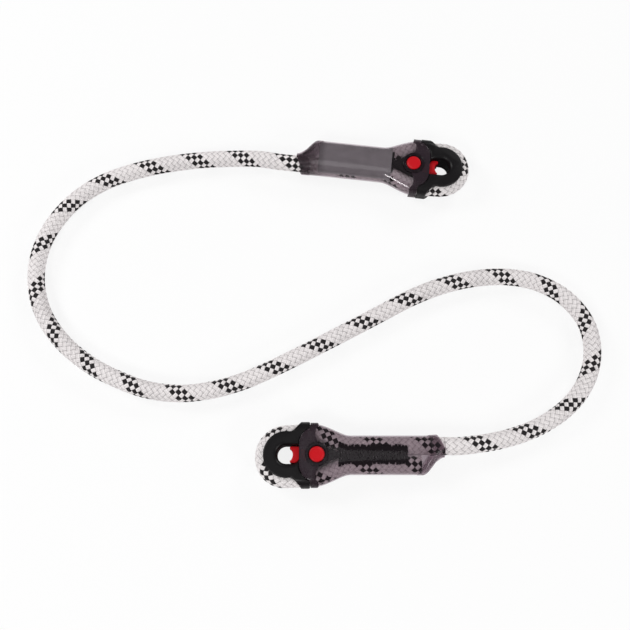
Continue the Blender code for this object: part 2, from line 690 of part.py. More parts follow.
def build_spring():
    """The coil spring between the two button stems, as one round wire."""
    half = STEM_END + STEM_BORE_DEPTH - FIT_GAP - SPRING_WIRE / 2
    total = SPRING_TURNS * SPRING_POINTS_PER_TURN
    points = []
    for i in range(total + 1):
        angle = math.tau * i / SPRING_POINTS_PER_TURN
        z = -half + 2 * half * i / total
        points.append(Vector((SPRING_RADIUS * math.cos(angle), SPRING_RADIUS * math.sin(angle), z)))
    apart = SPRING_POINTS_PER_TURN // 2
    nearest = min((q - p).length for i, p in enumerate(points) for q in points[i + apart:])
    print(f"spring: least gap to itself {nearest - SPRING_WIRE:.5f} m")
    return tube_curve("button_spring", points, SPRING_WIRE / 2, 1)


def through_points(points, step):
    """Points a step apart along a smooth curve through the given ones."""
    knots = [Vector(p) for p in points]
    knots = [2 * knots[0] - knots[1], *knots, 2 * knots[-1] - knots[-2]]
    fine = []
    for a, b, c, d in zip(knots, knots[1:], knots[2:], knots[3:]):
        t_a, t_b, t_c, t_d = 0.0, math.sqrt((b - a).length), 0.0, 0.0
        t_c = t_b + math.sqrt((c - b).length)
        t_d = t_c + math.sqrt((d - c).length)
        for i in range(16):
            t = t_b + (t_c - t_b) * i / 16
            ab = a.lerp(b, (t - t_a) / (t_b - t_a))
            bc = b.lerp(c, (t - t_b) / (t_c - t_b))
            cd = c.lerp(d, (t - t_c) / (t_d - t_c))
            abc = ab.lerp(bc, (t - t_a) / (t_c - t_a))
            bcd = bc.lerp(cd, (t - t_b) / (t_d - t_b))
            fine.append(abc.lerp(bcd, (t - t_b) / (t_c - t_b)))
    fine.append(knots[-2])
    lengths = [0.0]
    for first, second in zip(fine, fine[1:]):
        lengths.append(lengths[-1] + (second - first).length)
    count = round(lengths[-1] / step)
    spaced, k = [], 0
    for i in range(count + 1):
        target = lengths[-1] * i / count
        while k < len(fine) - 2 and lengths[k + 1] < target:
            k += 1
        span = lengths[k + 1] - lengths[k]
        spaced.append(fine[k].lerp(fine[k + 1], min((target - lengths[k]) / span, 1.0)))
    return spaced, lengths[-1]


def place(name, data, material, parent, location=(0, 0, 0), turn=0.0):
    """One named piece, hung on its parent."""
    obj = bpy.data.objects.new(name, data)
    bpy.context.scene.collection.objects.link(obj)
    obj.data.materials.clear()
    obj.data.materials.append(material)
    obj.parent = parent
    obj.location = location
    obj.rotation_euler = (turn, 0, 0)
    return obj


def mouth_points(terminal):
    """Where the free rope meets a terminal, and a point straight out from there, in the row frame."""
    matrix = terminal.matrix_world
    out = MOUTH + MOUTH_STRAIGHT_IN_DIAMETERS * ROPE_DIAMETER
    return matrix @ Vector((MOUTH + FIT_GAP, LEG_SPREAD, 0)), matrix @ Vector((out, LEG_SPREAD, 0))


def build_lanyard():
    """Makes the shared shapes once and hangs them on both terminals, then joins these with the rope."""
    clear_scene()
    shapes = {
        "thimble": build_thimble(),
        "keeper": build_keeper(),
        "button": build_button(),
        "sleeve": build_sleeve(),
        "stitching": build_stitching(),
        "label": build_label(),
    }
    for helper in list(bpy.data.objects):
        bpy.data.objects.remove(helper, do_unlink=True)
    finish = {name: make_material(name) for name in COLOURS}
    rope_eye = tube_curve("rope_eye", eye_route(MOUTH, TAIL_END), ROPE_RADIUS, ROPE_EYE_BEVEL_RESOLUTION)
    spring = build_spring()

    terminals = {}
    for key, spot in TERMINALS.items():
        terminal = bpy.data.objects.new(f"terminal_{key}", None)
        bpy.context.scene.collection.objects.link(terminal)
        terminal.location = (*spot["eye"], TERMINAL_HALF_THICKNESS)
        terminal.rotation_euler = (0, 0, spot["turn"])
        terminals[key] = terminal
        place(f"rope_eye_{key}", rope_eye, finish["rope_white"], terminal)
        place(f"thimble_{key}", shapes["thimble"], finish["thimble_black"], terminal)
        place(f"sleeve_{key}", shapes["sleeve"], finish["smoked_sleeve"], terminal)
        place(f"keeper_{key}", shapes["keeper"], finish["keeper_red"], terminal)
        at_button = (BUTTON_REACH, 0, 0)
        place(f"button_front_{key}", shapes["button"], finish["keeper_red"], terminal, at_button)
        place(f"button_back_{key}", shapes["button"], finish["keeper_red"], terminal, at_button, math.pi)
        place(f"button_spring_{key}", spring, finish["spring_steel"], terminal, at_button)
        for side, turn in (("front", 0.0), ("back", math.pi)):
            sewn = f"stitching_{side}_{key}"
            place(sewn, shapes["stitching"], finish["stitch_black"], terminal, turn=turn)
    place("label_a", shapes["label"], finish["label_grey"], terminals["a"])
    bpy.context.view_layer.update()

    start, start_out = mouth_points(terminals["a"])
    end, end_out = mouth_points(terminals["b"])
    route = [start, start_out, *FREE_ROUTE, end_out, end]
    points, length = through_points(route, FREE_ROUTE_STEP_IN_DIAMETERS * ROPE_DIAMETER)
    points = [start, start_out, *points[1:-1], end_out, end]
    free = tube_curve("rope_free", points, ROPE_RADIUS, ROPE_BEVEL_RESOLUTION)
    place("rope_free", free, finish["rope_white"], None)
    print(f"free rope: {length:.4f} m long, {len(points)} points")


build_lanyard()
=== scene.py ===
"""Tree climbing lanyard for Blender: a braided rope with a sewn, sleeved eye at each end.

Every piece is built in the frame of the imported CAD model, in metres. A terminal's pieces are
modelled in the terminal's own frame, as in the part's source: the origin is the middle of the
connector eye, +X runs along the terminal to the rope's mouth, and z = 0 is the mid plane.
"""

import math

import bmesh
import bpy
import numpy as np
from bpy.props import FloatProperty, FloatVectorProperty, IntProperty, PointerProperty
from mathutils import Matrix, Vector


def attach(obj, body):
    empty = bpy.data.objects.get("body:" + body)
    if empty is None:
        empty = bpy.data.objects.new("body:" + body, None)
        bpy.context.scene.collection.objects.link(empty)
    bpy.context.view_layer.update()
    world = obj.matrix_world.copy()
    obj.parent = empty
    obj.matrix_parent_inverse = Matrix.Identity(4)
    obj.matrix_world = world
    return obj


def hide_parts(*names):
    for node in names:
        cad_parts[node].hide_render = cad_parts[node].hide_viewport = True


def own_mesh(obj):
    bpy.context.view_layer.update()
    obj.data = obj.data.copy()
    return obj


bl_info = {
    "name": "Tree Climbing Lanyard",
    "version": (1, 0, 0),
    "blender": (4, 5, 0),
    "location": "3D View > Sidebar > Lanyard",
    "description": "Builds a braided lanyard with two sewn eyes around its CAD frame",
    "category": "Object",
}

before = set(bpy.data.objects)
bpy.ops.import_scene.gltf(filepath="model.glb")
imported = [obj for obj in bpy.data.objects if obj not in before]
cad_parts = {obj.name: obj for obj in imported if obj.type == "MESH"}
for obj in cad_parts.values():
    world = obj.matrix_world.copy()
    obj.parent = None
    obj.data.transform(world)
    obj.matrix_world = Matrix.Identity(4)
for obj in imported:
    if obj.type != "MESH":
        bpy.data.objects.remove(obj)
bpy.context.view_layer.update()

MM = 0.001
ROOT = "lanyard"
FACES = {"front": 0.0, "back": math.pi}
QUARTER = math.pi / 2
SKIN = 0.03 * MM
OVERRUN = 1 * MM

# The terminals' places, as in the part's source, how their braids lie, how much painted shade darkens each
# sleeve towards its mouth, and how glossy each sleeve is
TERMINAL_HEIGHT = 9.05 * MM
TERMINALS = {
    "a": {
        "eye": (50.7 * MM, 93.2 * MM), "turn": math.radians(173.4),
        "slip": -0.019, "twist": 0.122, "painted_mouth_shade": 0.26, "polish": 0.03,
    },
    "b": {
        "eye": (-50.5 * MM, -95.5 * MM), "turn": 0.0,
        "slip": -0.010, "twist": 0.226, "painted_mouth_shade": 0.02, "polish": 0.012,
    },
}

# The free rope's route between the two mouths, as in the part's source
FREE_ROUTE = [
    (-0.0717, 0.1032, 0.0068), (-0.0936, 0.1038, 0.0057), (-0.1152, 0.1024, 0.0056),
    (-0.1366, 0.0991, 0.0056), (-0.1574, 0.0938, 0.0056), (-0.1771, 0.0856, 0.0056),
    (-0.1941, 0.0728, 0.0056), (-0.2069, 0.0557, 0.0056), (-0.2142, 0.0355, 0.0056),
    (-0.2142, 0.0136, 0.0056), (-0.2069, -0.0071, 0.0056), (-0.1936, -0.0243, 0.0056),
    (-0.1770, -0.0377, 0.0056), (-0.1585, -0.0474, 0.0056), (-0.1392, -0.0543, 0.0056),
    (-0.1190, -0.0569, 0.0056), (-0.0991, -0.0549, 0.0056), (-0.0798, -0.0496, 0.0056),
    (-0.0613, -0.0416, 0.0056), (-0.0431, -0.0326, 0.0056), (-0.0249, -0.0231, 0.0056),
    (-0.0066, -0.0135, 0.0056), (0.0118, -0.0036, 0.0056), (0.0305, 0.0062, 0.0056),
    (0.0502, 0.0139, 0.0056), (0.0708, 0.0186, 0.0056), (0.0917, 0.0197, 0.0056),
    (0.1119, 0.0157, 0.0056), (0.1292, 0.0052, 0.0056), (0.1409, -0.0113, 0.0056),
    (0.1432, -0.0318, 0.0056), (0.1362, -0.0516, 0.0056), (0.1223, -0.0673, 0.0056),
    (0.1047, -0.0781, 0.0057), (0.0857, -0.0849, 0.0061),
]
ROUTE_STEPS = 80

# Rope
ROPE_RADIUS = 5.5 * MM
MOUTH = 96.2 * MM
FREE_START = MOUTH + 0.3 * MM
LOOP_RADIUS = 13.5 * MM
LEG_SPREAD = 5.625 * MM
LEG_BEND_START = 10 * MM
LEG_BEND_END = 39 * MM
LEG_BEND_EXPONENT = 1.25
TAIL_END = 82 * MM

# The loop leans a little to the tail's side
LOOP_LEAN = 1.2 * MM
LOOP_PUSH = 0.3 * MM
LEAN_FROM = -16 * MM
LEAN_REACH = 36 * MM
PUSH_REACH = 14 * MM

# Braid: strands each way, the tracers among them, faces across a strand, and the rise of a float
STRANDS = 8
TRACER_STRANDS = 3
CELL_SIDES = 8
CELL_STRETCH = 1.15
FLOAT_RISE_SHARE = 0.8
CROWN_RISE = 0.06 * MM

# Where the braid has slipped or is drawn out: places along the rope, reaches and turns
START_TURNS = -0.2687
DRAWN_PLACE = 415.7 * MM
DRAWN_REACH = 67 * MM
DRAWN_TURNS = 0.0606
SLIP_PLACE = 520.6 * MM
SLIP_REACH = 20.7 * MM
SLIP_TURNS = 0.0439
END_REACH = 20 * MM
END_TURNS = 0.1
TWIST_PLACE = 114 * MM
TWIST_REACH = 50 * MM

# Sleeve, a little slimmer at its sides and mouth than in the part's source
SLEEVE_WALL = 0.9 * MM
SLEEVE_START = 15.2 * MM
SLEEVE_HALF = 7.85 * MM
CAVITY_HALF = 6.95 * MM
SIDE_WALL = 0.75 * MM
SIDE_WALL_SHARE = 0.65
MOUTH_WALL = 1.15 * MM
TAPER_START = 83.0 * MM
TAPER_END = 95.2 * MM
MOUTH_CUT_TOP = 91.5 * MM
MOUTH_CUT_SIDE = 3 * MM
SLEEVE_SIDE = LEG_SPREAD + ROPE_RADIUS + 1.8 * MM
SECTION_POWER = 2.6
AROUND = 112
# Painted shade on the sleeve: where it starts, as a share of the sleeve's length, and how fast it grows
MOUTH_SHADE_START = 0.76
MOUTH_SHADE_SLOPE = 7.0

# The mouth's collar, and where it starts at some distances from the terminal's axis
COLLAR_RISE = 0.5 * MM
COLLAR_PLACES = (-SLEEVE_SIDE, 2.5 * MM, 8.4 * MM, SLEEVE_SIDE)
COLLAR_STARTS = (78.8 * MM, 88.8 * MM, 86.8 * MM, 86.8 * MM)

# Yoke, ring and buttons
YOKE_HALF = 8.25 * MM
YOKE_HALF_WIDTH = 19.5 * MM
YOKE_END = 19.6 * MM
WAIST = (15.6 * MM, 12.5 * MM)
RING_RADIUS = 7.1 * MM
BUTTON_X = 18.5 * MM
BUTTON_RADIUS = 4.65 * MM

# Thimble, with a longer tail and a narrower seam than in the part's source
EYE_RADIUS = 5.6 * MM
THIMBLE_HALF = 8 * MM
FLANGE_RADIUS = 14.0 * MM
EAR_FRONT = 9.2 * MM
EAR_END = 14.4 * MM
EAR_HALF_WIDTH = 20.0 * MM
EAR_SLOPE = math.radians(52)
SHOULDER_REACH = 7.4 * MM
SEAM = 0.3 * MM
BAR_CORNER = 6 * MM
CHEEK_ROUNDING = 2.6 * MM
GROOVE_REACH = 60 * MM
GROOVE_STEP = 1.2 * MM
GROOVE_GAP = 0.3 * MM
TAIL_HALF = 6.4 * MM
TAIL_EDGE = [
    (0, 9 * MM), (12 * MM, 9 * MM), (BUTTON_X, 7.2 * MM), (23.6 * MM, 5.2 * MM), (27.6 * MM, 2.6 * MM),
    (32 * MM, 1 * MM),
]

# In the cheeks, outside this height, one corner of the eye is closed; the source leaves it open
CHEEK_INSIDE = 5.0 * MM
CHEEK_CORNER = 1.5 * MM

# Keeper and springs, as in the part's source
KEEPER_TRAVEL = 3.6 * MM
KEEPER_HALF_WIDTH = 5 * MM
SPRING_RADIUS = 0.8 * MM
SPRING_WIRE = 0.4 * MM
SPRING_HALF = 4.4 * MM

# Sewing: where it lies, and the angles about a leg at which a thread ends and sinks into the valley
SEWING_START = 31.5 * MM
SEWING_END = 73.5 * MM
THREAD_REST = ROPE_RADIUS + 0.32 * MM
THREAD_REACH = math.radians(88)
VALLEY_REACH = math.radians(122)
VALLEY_POWER = 0.8

# Threads across the legs: thickness and width, place in a group, and how unevenly they lie
# (THREAD_LIFT and GROUP_LEAN in mm)
THREAD_SIZE = (0.30 * MM, 0.36 * MM)
THREAD_APART = 0.24
THREAD_UNEVEN = 0.05
THREAD_LIFT = 0.08
THREAD_TIP = 0.55
GROUP_UNEVEN = 0.07
GROUP_LEAN = 0.35

# Sewn rows along the legs
ROWS = 9
ROW_STEPS = 84
ROW_REACH = 0.62
ROW_WAVE = 0.03
ROW_LIFT = 0.02 * MM
ROW_SIZE = (0.45 * MM, 0.55 * MM)

# Label
LABEL_START = 33 * MM
LABEL_END = 81.5 * MM
LABEL_SHARE = 0.86
LABEL_THICKNESS = 0.12 * MM

# Stage
CAMERA_PLACE = (-0.0331, -0.1392, 0.5031)
CAMERA_TILT = math.radians(15)
SENSOR_WIDTH = 36.0
FLOOR_HALF = 6.0
FLOOR_DROP = 0.2 * MM
WHITE = (1.0, 1.0, 1.0, 1.0)

# Lamps: place, width, height, and the setting that holds the power
LAMPS = {
    "near": ((-0.52, -0.74, 0.90), 0.40, 0.30, "near"),
    "left": ((-0.95, 0.45, 0.70), 0.35, 0.35, "side"),
    "right": ((0.75, 0.95, 0.70), 0.50, 0.40, "side"),
    "far": ((0.80, -0.70, 0.55), 0.40, 0.30, "far"),
    "top": ((-0.05, -0.05, 1.30), 0.50, 0.50, "top"),
}


# Settings


def number(name, description, default, low=0.0, high=1.0, subtype="FACTOR", unit="NONE"):
    """A number in the sidebar, a share of 1 unless it says otherwise."""
    return FloatProperty(
        name=name, description=description, default=default, min=low, max=high, precision=5,
        subtype=subtype, unit=unit,
    )


def lamp_power(name, description, default):
    """A lamp's power in the sidebar."""
    return number(name, description, default, 0.0, 100.0, "POWER", "POWER")


def tone(name, description, *rgb):
    """A colour in the sidebar, from its red, green and blue."""
    return FloatVectorProperty(
        name=name, description=description, default=(*rgb, 1.0), size=4, min=0.0, max=1.0, subtype="COLOR"
    )


class LanyardRope(bpy.types.PropertyGroup):
    """The braid's sizes and colours"""

    pitch: number(
        "Braid pitch", "Length in which a strand goes round the rope once",
        0.031169, 0.02, 0.06, "DISTANCE", "LENGTH",
    )
    relief: number(
        "Strand relief", "How far a strand's crown stands over the crossings",
        0.00045, 0.0, 0.001, "DISTANCE", "LENGTH",
    )
    white: tone("White yarn", "Colour of the sheath's plain yarns", 0.93, 0.885, 0.885)
    black: tone("Tracer yarn", "Colour of the sheath's tracer yarns", 0.006, 0.0045, 0.005)


class LanyardTerminal(bpy.types.PropertyGroup):
    """The terminals' finishes"""

    smoke: tone("Smoked plastic", "Colour of the dye in the see-through mouldings", 0.016, 0.0108, 0.0142)
    tint: tone("Tint", "Colour of the light that comes through a surface of the sleeve", 0.94, 0.895, 0.92)
    sleeve_cover: number("Sleeve cover", "How much one surface of the sleeve hides", 0.19)
    collar_cover: number("Collar cover", "How much one surface of the mouth's collar hides", 0.16)
    yoke_cover: number("Yoke cover", "How much one surface of the yoke hides", 0.70)
    ring_cover: number("Ring cover", "How much one surface of the rings round the buttons hides", 0.85)
    thimble: tone("Thimble", "Colour of the moulded thimble", 0.0060, 0.0052, 0.0060)
    red: tone("Keeper and buttons", "Colour of the moving plastic pieces", 0.57, 0.0035, 0.0095)
    label: tone("Label film", "Colour of the bare label", 0.46, 0.49, 0.48)
    thread: tone("Sewing thread", "Colour of the sewing", 0.004, 0.0032, 0.0038)
    threads: IntProperty(
        name="Stitches", description="Groups of threads across the legs in one block of sewing",
        default=22, min=4, max=40,
    )


class LanyardStage(bpy.types.PropertyGroup):
    """The floor, the lamps and the camera"""

    floor: tone("Floor", "Colour of the floor under the lanyard", 0.93, 0.93, 0.93)
    ambient: number("Ambient", "Strength of the surrounding light", 0.20, high=5.0, subtype="NONE")
    backdrop: number("Backdrop", "Brightness that the camera sees behind the floor", 0.96)
    near: lamp_power("Near lamp", "Power of the lamp on the camera's side", 5.0)
    side: lamp_power("Side lamps", "Power of each lamp to the left and the right", 6.0)
    far: lamp_power("Far lamp", "Power of the low lamp on the right, on the camera's side", 4.0)
    top: lamp_power("Top lamp", "Power of the lamp overhead", 0.8)
    lens: number("Lens", "Focal length on a 36 mm sensor", 0.045714, 0.01, 0.3, "DISTANCE", "LENGTH")


# Materials


class Value:
    """A number that changes over a surface. Arithmetic on it adds Math nodes to its material."""

    def __init__(self, finish, socket):
        self.finish = finish
        self.socket = socket

    def math(self, operation, *others, clamp=False):
        sockets = dict(enumerate((self, *others)))
        return self.finish.node("Math", sockets, operation=operation, use_clamp=clamp)

    def __add__(self, other):
        return self.math("ADD", other)

    def __sub__(self, other):
        return self.math("SUBTRACT", other)

    def __rsub__(self, other):
        return self.finish.node("Math", {0: other, 1: self}, operation="SUBTRACT")

    def __mul__(self, other):
        return self.math("MULTIPLY", other)

    def clamped(self):
        return self.math("ADD", 0.0, clamp=True)

    __radd__ = __add__
    __rmul__ = __mul__


class Finish:
    """The nodes of one material, or of the world."""

    def __init__(self, owner):
        self.owner = owner
        owner.use_nodes = True
        self.tree = owner.node_tree
        self.tree.nodes.clear()

    def node(self, kind, sockets=None, output=0, **settings):
        """Adds a node with its settings, fills its sockets, and gives back one of its outputs."""
        node = self.tree.nodes.new("ShaderNode" + kind)
        for key, value in settings.items():
            setattr(node, key, value)
        for key, value in (sockets or {}).items():
            if isinstance(value, Value):
                self.tree.links.new(value.socket, node.inputs[key])
            else:
                node.inputs[key].default_value = value
        return Value(self, node.outputs[output]) if node.outputs else None

    def position(self):
        """Object coordinates."""
        return self.node("TexCoord", output="Object")

    def mapped(self, name, axis):
        """One axis of the piece's own UV map."""
        return self.node("SeparateXYZ", {0: self.node("UVMap", uv_map=name)}, axis)

    def mix(self, factor, first, second):
        """A colour between two others."""
        return self.node("Mix", {0: factor, 6: first, 7: second}, 2, data_type="RGBA", clamp_factor=True)

    def noise(self, place, scale, detail=2.0, roughness=0.5):
        """A smooth random number around a half."""
        sockets = {"Vector": place, "Scale": scale, "Detail": detail, "Roughness": roughness}
        return self.node("TexNoise", sockets)

    def bump(self, height, distance, strength=1.0):
        """A normal tilted by a height of 0 to 1, which stands for a distance."""
        return self.node("Bump", {"Height": height, "Distance": distance, "Strength": strength})

    def ended(self, shader, output="OutputMaterial"):
        """Ends the tree in a shader."""
        self.node(output, {"Surface": shader})
        return self.owner

    def surface(self, sockets):
        """Ends the tree in a Principled shader."""
        return self.ended(self.node("BsdfPrincipled", sockets))


def new_material(name):
    """An empty material."""
    return Finish(bpy.data.materials.new(name))


def toned(colour, factor, lift=0.0):
    """A lighter or darker colour."""
    return (*(min(c * factor + lift, 1.0) for c in colour[:3]), 1.0)


def rope_finish(rope):
    """White plaited yarns with three black tracer strands side by side, and painted light and shade on the
    strands.
    """
    finish = new_material("rope_braid")
    turns, along = finish.mapped("braid", 0), finish.mapped("braid", 1)
    p, q = (turns - along) * STRANDS, (turns + along) * STRANDS
    families = []
    for own, other, rise in ((p, q, FLOAT_RISE_SHARE), (q, p, -FLOAT_RISE_SHARE)):
        strand = own.math("ROUND")
        off = own - strand
        crown = 1 - off * off * 4
        height = ((other + strand) * math.pi).math("COSINE") * rise + crown

        # Two yarns lie side by side in each strand, and each is twisted from fine filaments
        yarn = (off.math("ABSOLUTE") - 0.25) * 4
        run = finish.node("CombineXYZ", {0: own * 9, 1: other * 1.3, 2: strand})
        fibre = finish.noise(run, 1.0, 3.0, 0.6)
        families.append((strand, height, off, crown, 1 - yarn * yarn, fibre))
    (p_strand, p_height, *p_looks), (_, q_height, *q_looks) = families
    lead = (p_height - q_height) * 9
    p_on_top = (lead + 0.5).clamped()
    side, crown, pair, fibre = (b + (a - b) * p_on_top for a, b in zip(p_looks, q_looks))
    place_in_turn = (p_strand + 1).math("FLOORED_MODULO", float(STRANDS))
    black = (lead + 1.7).clamped() * place_in_turn.math("LESS_THAN", TRACER_STRANDS - 0.5)

    # Painted light and shade: each strand's crown is painted lighter and one of its sides darker, as if lit
    # from one side, and painted shade darkens the lines between the yarns; the sheath is also a little
    # soiled in patches
    soil = (finish.noise(finish.position(), 45.0) - 0.45) * 0.5
    flank_painted_shade = (side * 2.6).clamped()
    shade = (crown.clamped() * 0.50 + 0.60).clamped() * (1.08 - flank_painted_shade * 0.34) * (pair * 0.26 + 0.80)
    shade = shade * ((fibre - 0.5) * 0.30 + 1.0) * (1 - soil.clamped())
    # The white yarn is drawn towards this dark grey where shade is painted
    white = finish.mix(shade, (0.13, 0.11, 0.115, 1.0), tuple(rope.white))
    grey_black = finish.mix(fibre * 0.8, tuple(rope.black), (0.022, 0.019, 0.021, 1.0))
    return finish.surface({
        "Base Color": finish.mix(black, white, grey_black),
        "Roughness": 0.82 - black * 0.22,
        "Normal": finish.bump(pair * 0.7 + fibre * 0.3, 0.0003),
        "Specular IOR Level": 0.2,
    })


def moulded_finish(name, colour, roughness, grain, wear=0.0):
    """Moulded plastic with a fine grain, faint flow marks and rubbed patches."""
    finish = new_material(name)
    place = finish.position()
    broad = finish.noise(place, 160.0, 3.0)
    scuffs = finish.noise(place, 700.0, 4.0, 0.7)
    rubbed = ((scuffs - 0.58) * 5).clamped() * wear
    return finish.surface({
        "Base Color": finish.mix(rubbed + (broad - 0.5) * 0.25, tuple(colour), toned(colour, 1.5, 0.006)),
        "Roughness": broad * 0.16 + roughness + rubbed * 0.2,
        "Normal": finish.bump(finish.noise(place, 2600.0), 0.00003, grain),
        "Specular IOR Level": 0.2,
    })


def smoked_finish(name, terminal, cover, depth=1.0, roughness=0.2, painted_mouth_shade=0.0, polish=0.012):
    """Smoked see-through plastic: dyed clear plastic under a gloss that grows towards its edges; a sleeve's
    film can also get painted shade that darkens it towards its mouth.
    """
    finish = new_material(name)
    place = finish.position()
    cloud = finish.noise(place, 120.0, 3.0)
    edge = finish.node("LayerWeight", {"Blend": 0.4}, "Facing")
    smoke = toned(terminal.smoke, depth)
    dye = finish.node("BsdfPrincipled", {
        "Base Color": finish.mix(cloud, toned(smoke, 0.75), smoke),
        "Roughness": 0.5,
        "Specular IOR Level": 0.0,
    })
    clear = finish.node("BsdfTransparent", {"Color": tuple(terminal.tint)})
    cover_and_painted_shade = (cloud - 0.5) * 0.10 + cover
    # Painted shade: the film hides more towards the sleeve's mouth, much more on terminal a than on b
    if painted_mouth_shade:
        near = (finish.mapped("sleeve", 1) - MOUTH_SHADE_START) * MOUTH_SHADE_SLOPE
        cover_and_painted_shade = cover_and_painted_shade + near.clamped() * painted_mouth_shade
    film = finish.node("MixShader", {0: cover_and_painted_shade, 1: clear, 2: dye})
    shine = finish.node("BsdfPrincipled", {
        "Base Color": WHITE,
        "Metallic": 1.0,
        "Roughness": cloud * 0.06 + roughness,
        "Normal": finish.bump(finish.noise(place, 210.0), 0.0003, 0.22),
    })
    gloss = edge * edge * edge * 0.30 + polish
    return finish.ended(finish.node("MixShader", {0: gloss, 1: film, 2: shine}))


def label_finish(colour):
    """Grey label film, bare, with the faint mottling of the sewing behind it."""
    finish = new_material("label_film")
    mottle = finish.noise(finish.position(), 300.0, 3.0)
    return finish.surface({
        "Base Color": finish.mix(mottle * 0.35, tuple(colour), toned(colour, 0.6)),
        "Roughness": 0.45,
        "Normal": finish.bump(mottle, 0.00006, 0.4),
    })


def thread_finish(colour):
    """Black twisted thread."""
    finish = new_material("sewing_thread")
    strand = finish.noise(finish.position(), 1800.0)
    return finish.surface({
        "Base Color": finish.mix(strand, tuple(colour), toned(colour, 2.0, 0.002)),
        "Roughness": 0.6,
        "Specular IOR Level": 0.15,
        "Normal": finish.bump(strand, 0.0001, 0.6),
    })


def steel_finish():
    """Drawn spring wire."""
    finish = new_material("spring_steel")
    streak = finish.noise(finish.position(), 900.0)
    return finish.surface({
        "Base Color": (0.55, 0.55, 0.57, 1.0),
        "Metallic": 1.0,
        "Roughness": streak * 0.2 + 0.22,
    })


def floor_finish(colour):
    """A pale floor that the camera sees as white, with the lanyard's shadow kept."""
    finish = new_material("floor")
    seen = finish.node("LightPath", output="Is Camera Ray")
    lit = finish.node("BsdfPrincipled", {"Base Color": tuple(colour), "Roughness": 0.9})
    white = finish.node("Emission", {"Color": WHITE, "Strength": 1.0})
    return finish.ended(finish.node("MixShader", {0: seen * 0.85, 1: lit, 2: white}))


def surroundings(world, ambient, backdrop):
    """Even light from all round, which the camera sees as the backdrop."""
    finish = Finish(world)
    seen = finish.node("LightPath", output="Is Camera Ray")
    strength = finish.node("MapRange", {"Value": seen, "To Min": ambient, "To Max": backdrop}, "Result")
    return finish.ended(finish.node("Background", {"Color": WHITE, "Strength": strength}), "OutputWorld")


# Lines


def smoothstep(share):
    """Eases 0..1 with level ends."""
    share = np.clip(share, 0.0, 1.0)
    return share * share * (3 - 2 * share)


def progress(x, start, end):
    """How far x has come from start to end, as a share of 0 to 1."""
    return np.clip((x - start) / (end - start), 0.0, 1.0)


def leg_offset(x):
    """How far each rope leg's centreline lies from the terminal's axis at x."""
    share = progress(x, LEG_BEND_START, LEG_BEND_END)
    return LOOP_RADIUS + (LEG_SPREAD - LOOP_RADIUS) * smoothstep(share ** LEG_BEND_EXPONENT)


def leg_half_width(x):
    """Half the width of the slanting rope leg, square to the terminal's axis."""
    step = ROPE_RADIUS / 20
    return ROPE_RADIUS * np.hypot(1.0, (leg_offset(x + step) - leg_offset(x - step)) / (2 * step))


def terminal_matrix(side):
    """From a terminal's own frame to the row frame."""
    spot = TERMINALS[side]
    return Matrix.Translation((*spot["eye"], TERMINAL_HEIGHT)) @ Matrix.Rotation(spot["turn"], 4, "Z")


def evenly(points, step):
    """The same line with its points a step apart, or a little less, and its length."""
    points = np.asarray(points, float)
    along = np.concatenate([[0.0], np.cumsum(np.linalg.norm(np.diff(points, axis=0), axis=1))])
    even = np.linspace(0.0, along[-1], math.ceil(along[-1] / step) + 1)
    return np.stack([np.interp(even, along, points[:, axis]) for axis in range(3)], axis=1), along[-1]


def across_line(points):
    """Unit vectors up and sideways at each point of a line, square to it."""
    tangent = np.gradient(points, axis=0)
    tangent /= np.linalg.norm(tangent, axis=1)[:, None]
    up = np.array([0.0, 0.0, 1.0]) - tangent * tangent[:, 2:]
    up /= np.linalg.norm(up, axis=1)[:, None]
    return up, np.cross(tangent, up)


def through_points(points):
    """A smooth curve through the given points."""
    knots = [Vector(p) for p in points]
    knots = [2 * knots[0] - knots[1], *knots, 2 * knots[-1] - knots[-2]]
    fine = []
    for a, b, c, d in zip(knots, knots[1:], knots[2:], knots[3:]):
        t_b = math.sqrt((b - a).length)
        t_c = t_b + math.sqrt((c - b).length)
        t_d = t_c + math.sqrt((d - c).length)
        for i in range(ROUTE_STEPS):
            t = t_b + (t_c - t_b) * i / ROUTE_STEPS
            ab, bc = a.lerp(b, t / t_b), b.lerp(c, (t - t_b) / (t_c - t_b))
            cd = c.lerp(d, (t - t_c) / (t_d - t_c))
            abc, bcd = ab.lerp(bc, t / t_c), bc.lerp(cd, (t - t_b) / (t_d - t_b))
            fine.append(abc.lerp(bcd, (t - t_b) / (t_c - t_b)))
    fine.append(knots[-2])
    return fine


def free_route():
    """The free rope's centreline from the mouth of terminal a to the mouth of terminal b."""
    out = MOUTH + 2 * ROPE_RADIUS
    ends = {
        side: [terminal_matrix(side) @ Vector((x, LEG_SPREAD, 0)) for x in (FREE_START, out)]
        for side in TERMINALS
    }
    return through_points([*ends["a"], *FREE_ROUTE, *reversed(ends["b"])])


def leaned(x, y):
    """A point of the eye's centreline, moved to where the loop leans."""
    lean = LOOP_LEAN * (1 - smoothstep((x - LEAN_FROM) / LEAN_REACH))
    push = LOOP_PUSH * (1 - smoothstep((x + PUSH_REACH) / PUSH_REACH))
    return x - push, y - lean, 0.0


def eye_route(side):
    """The rope in a terminal, in the order in which the braid runs from terminal a to terminal b."""
    step = ROPE_RADIUS / 12
    leg = np.arange(MOUTH, 0.0, -step)
    turn = np.linspace(QUARTER, 3 * QUARTER, 120)[1:-1]
    tail = np.arange(0.0, TAIL_END, step)
    line = [leaned(x, leg_offset(x)) for x in leg]
    line += [leaned(LOOP_RADIUS * math.cos(a), LOOP_RADIUS * math.sin(a)) for a in turn]
    line += [leaned(x, -leg_offset(x)) for x in [*tail, TAIL_END]]
    matrix = terminal_matrix(side)
    line = [matrix @ Vector(point) for point in line]
    return line if side == "b" else line[::-1]


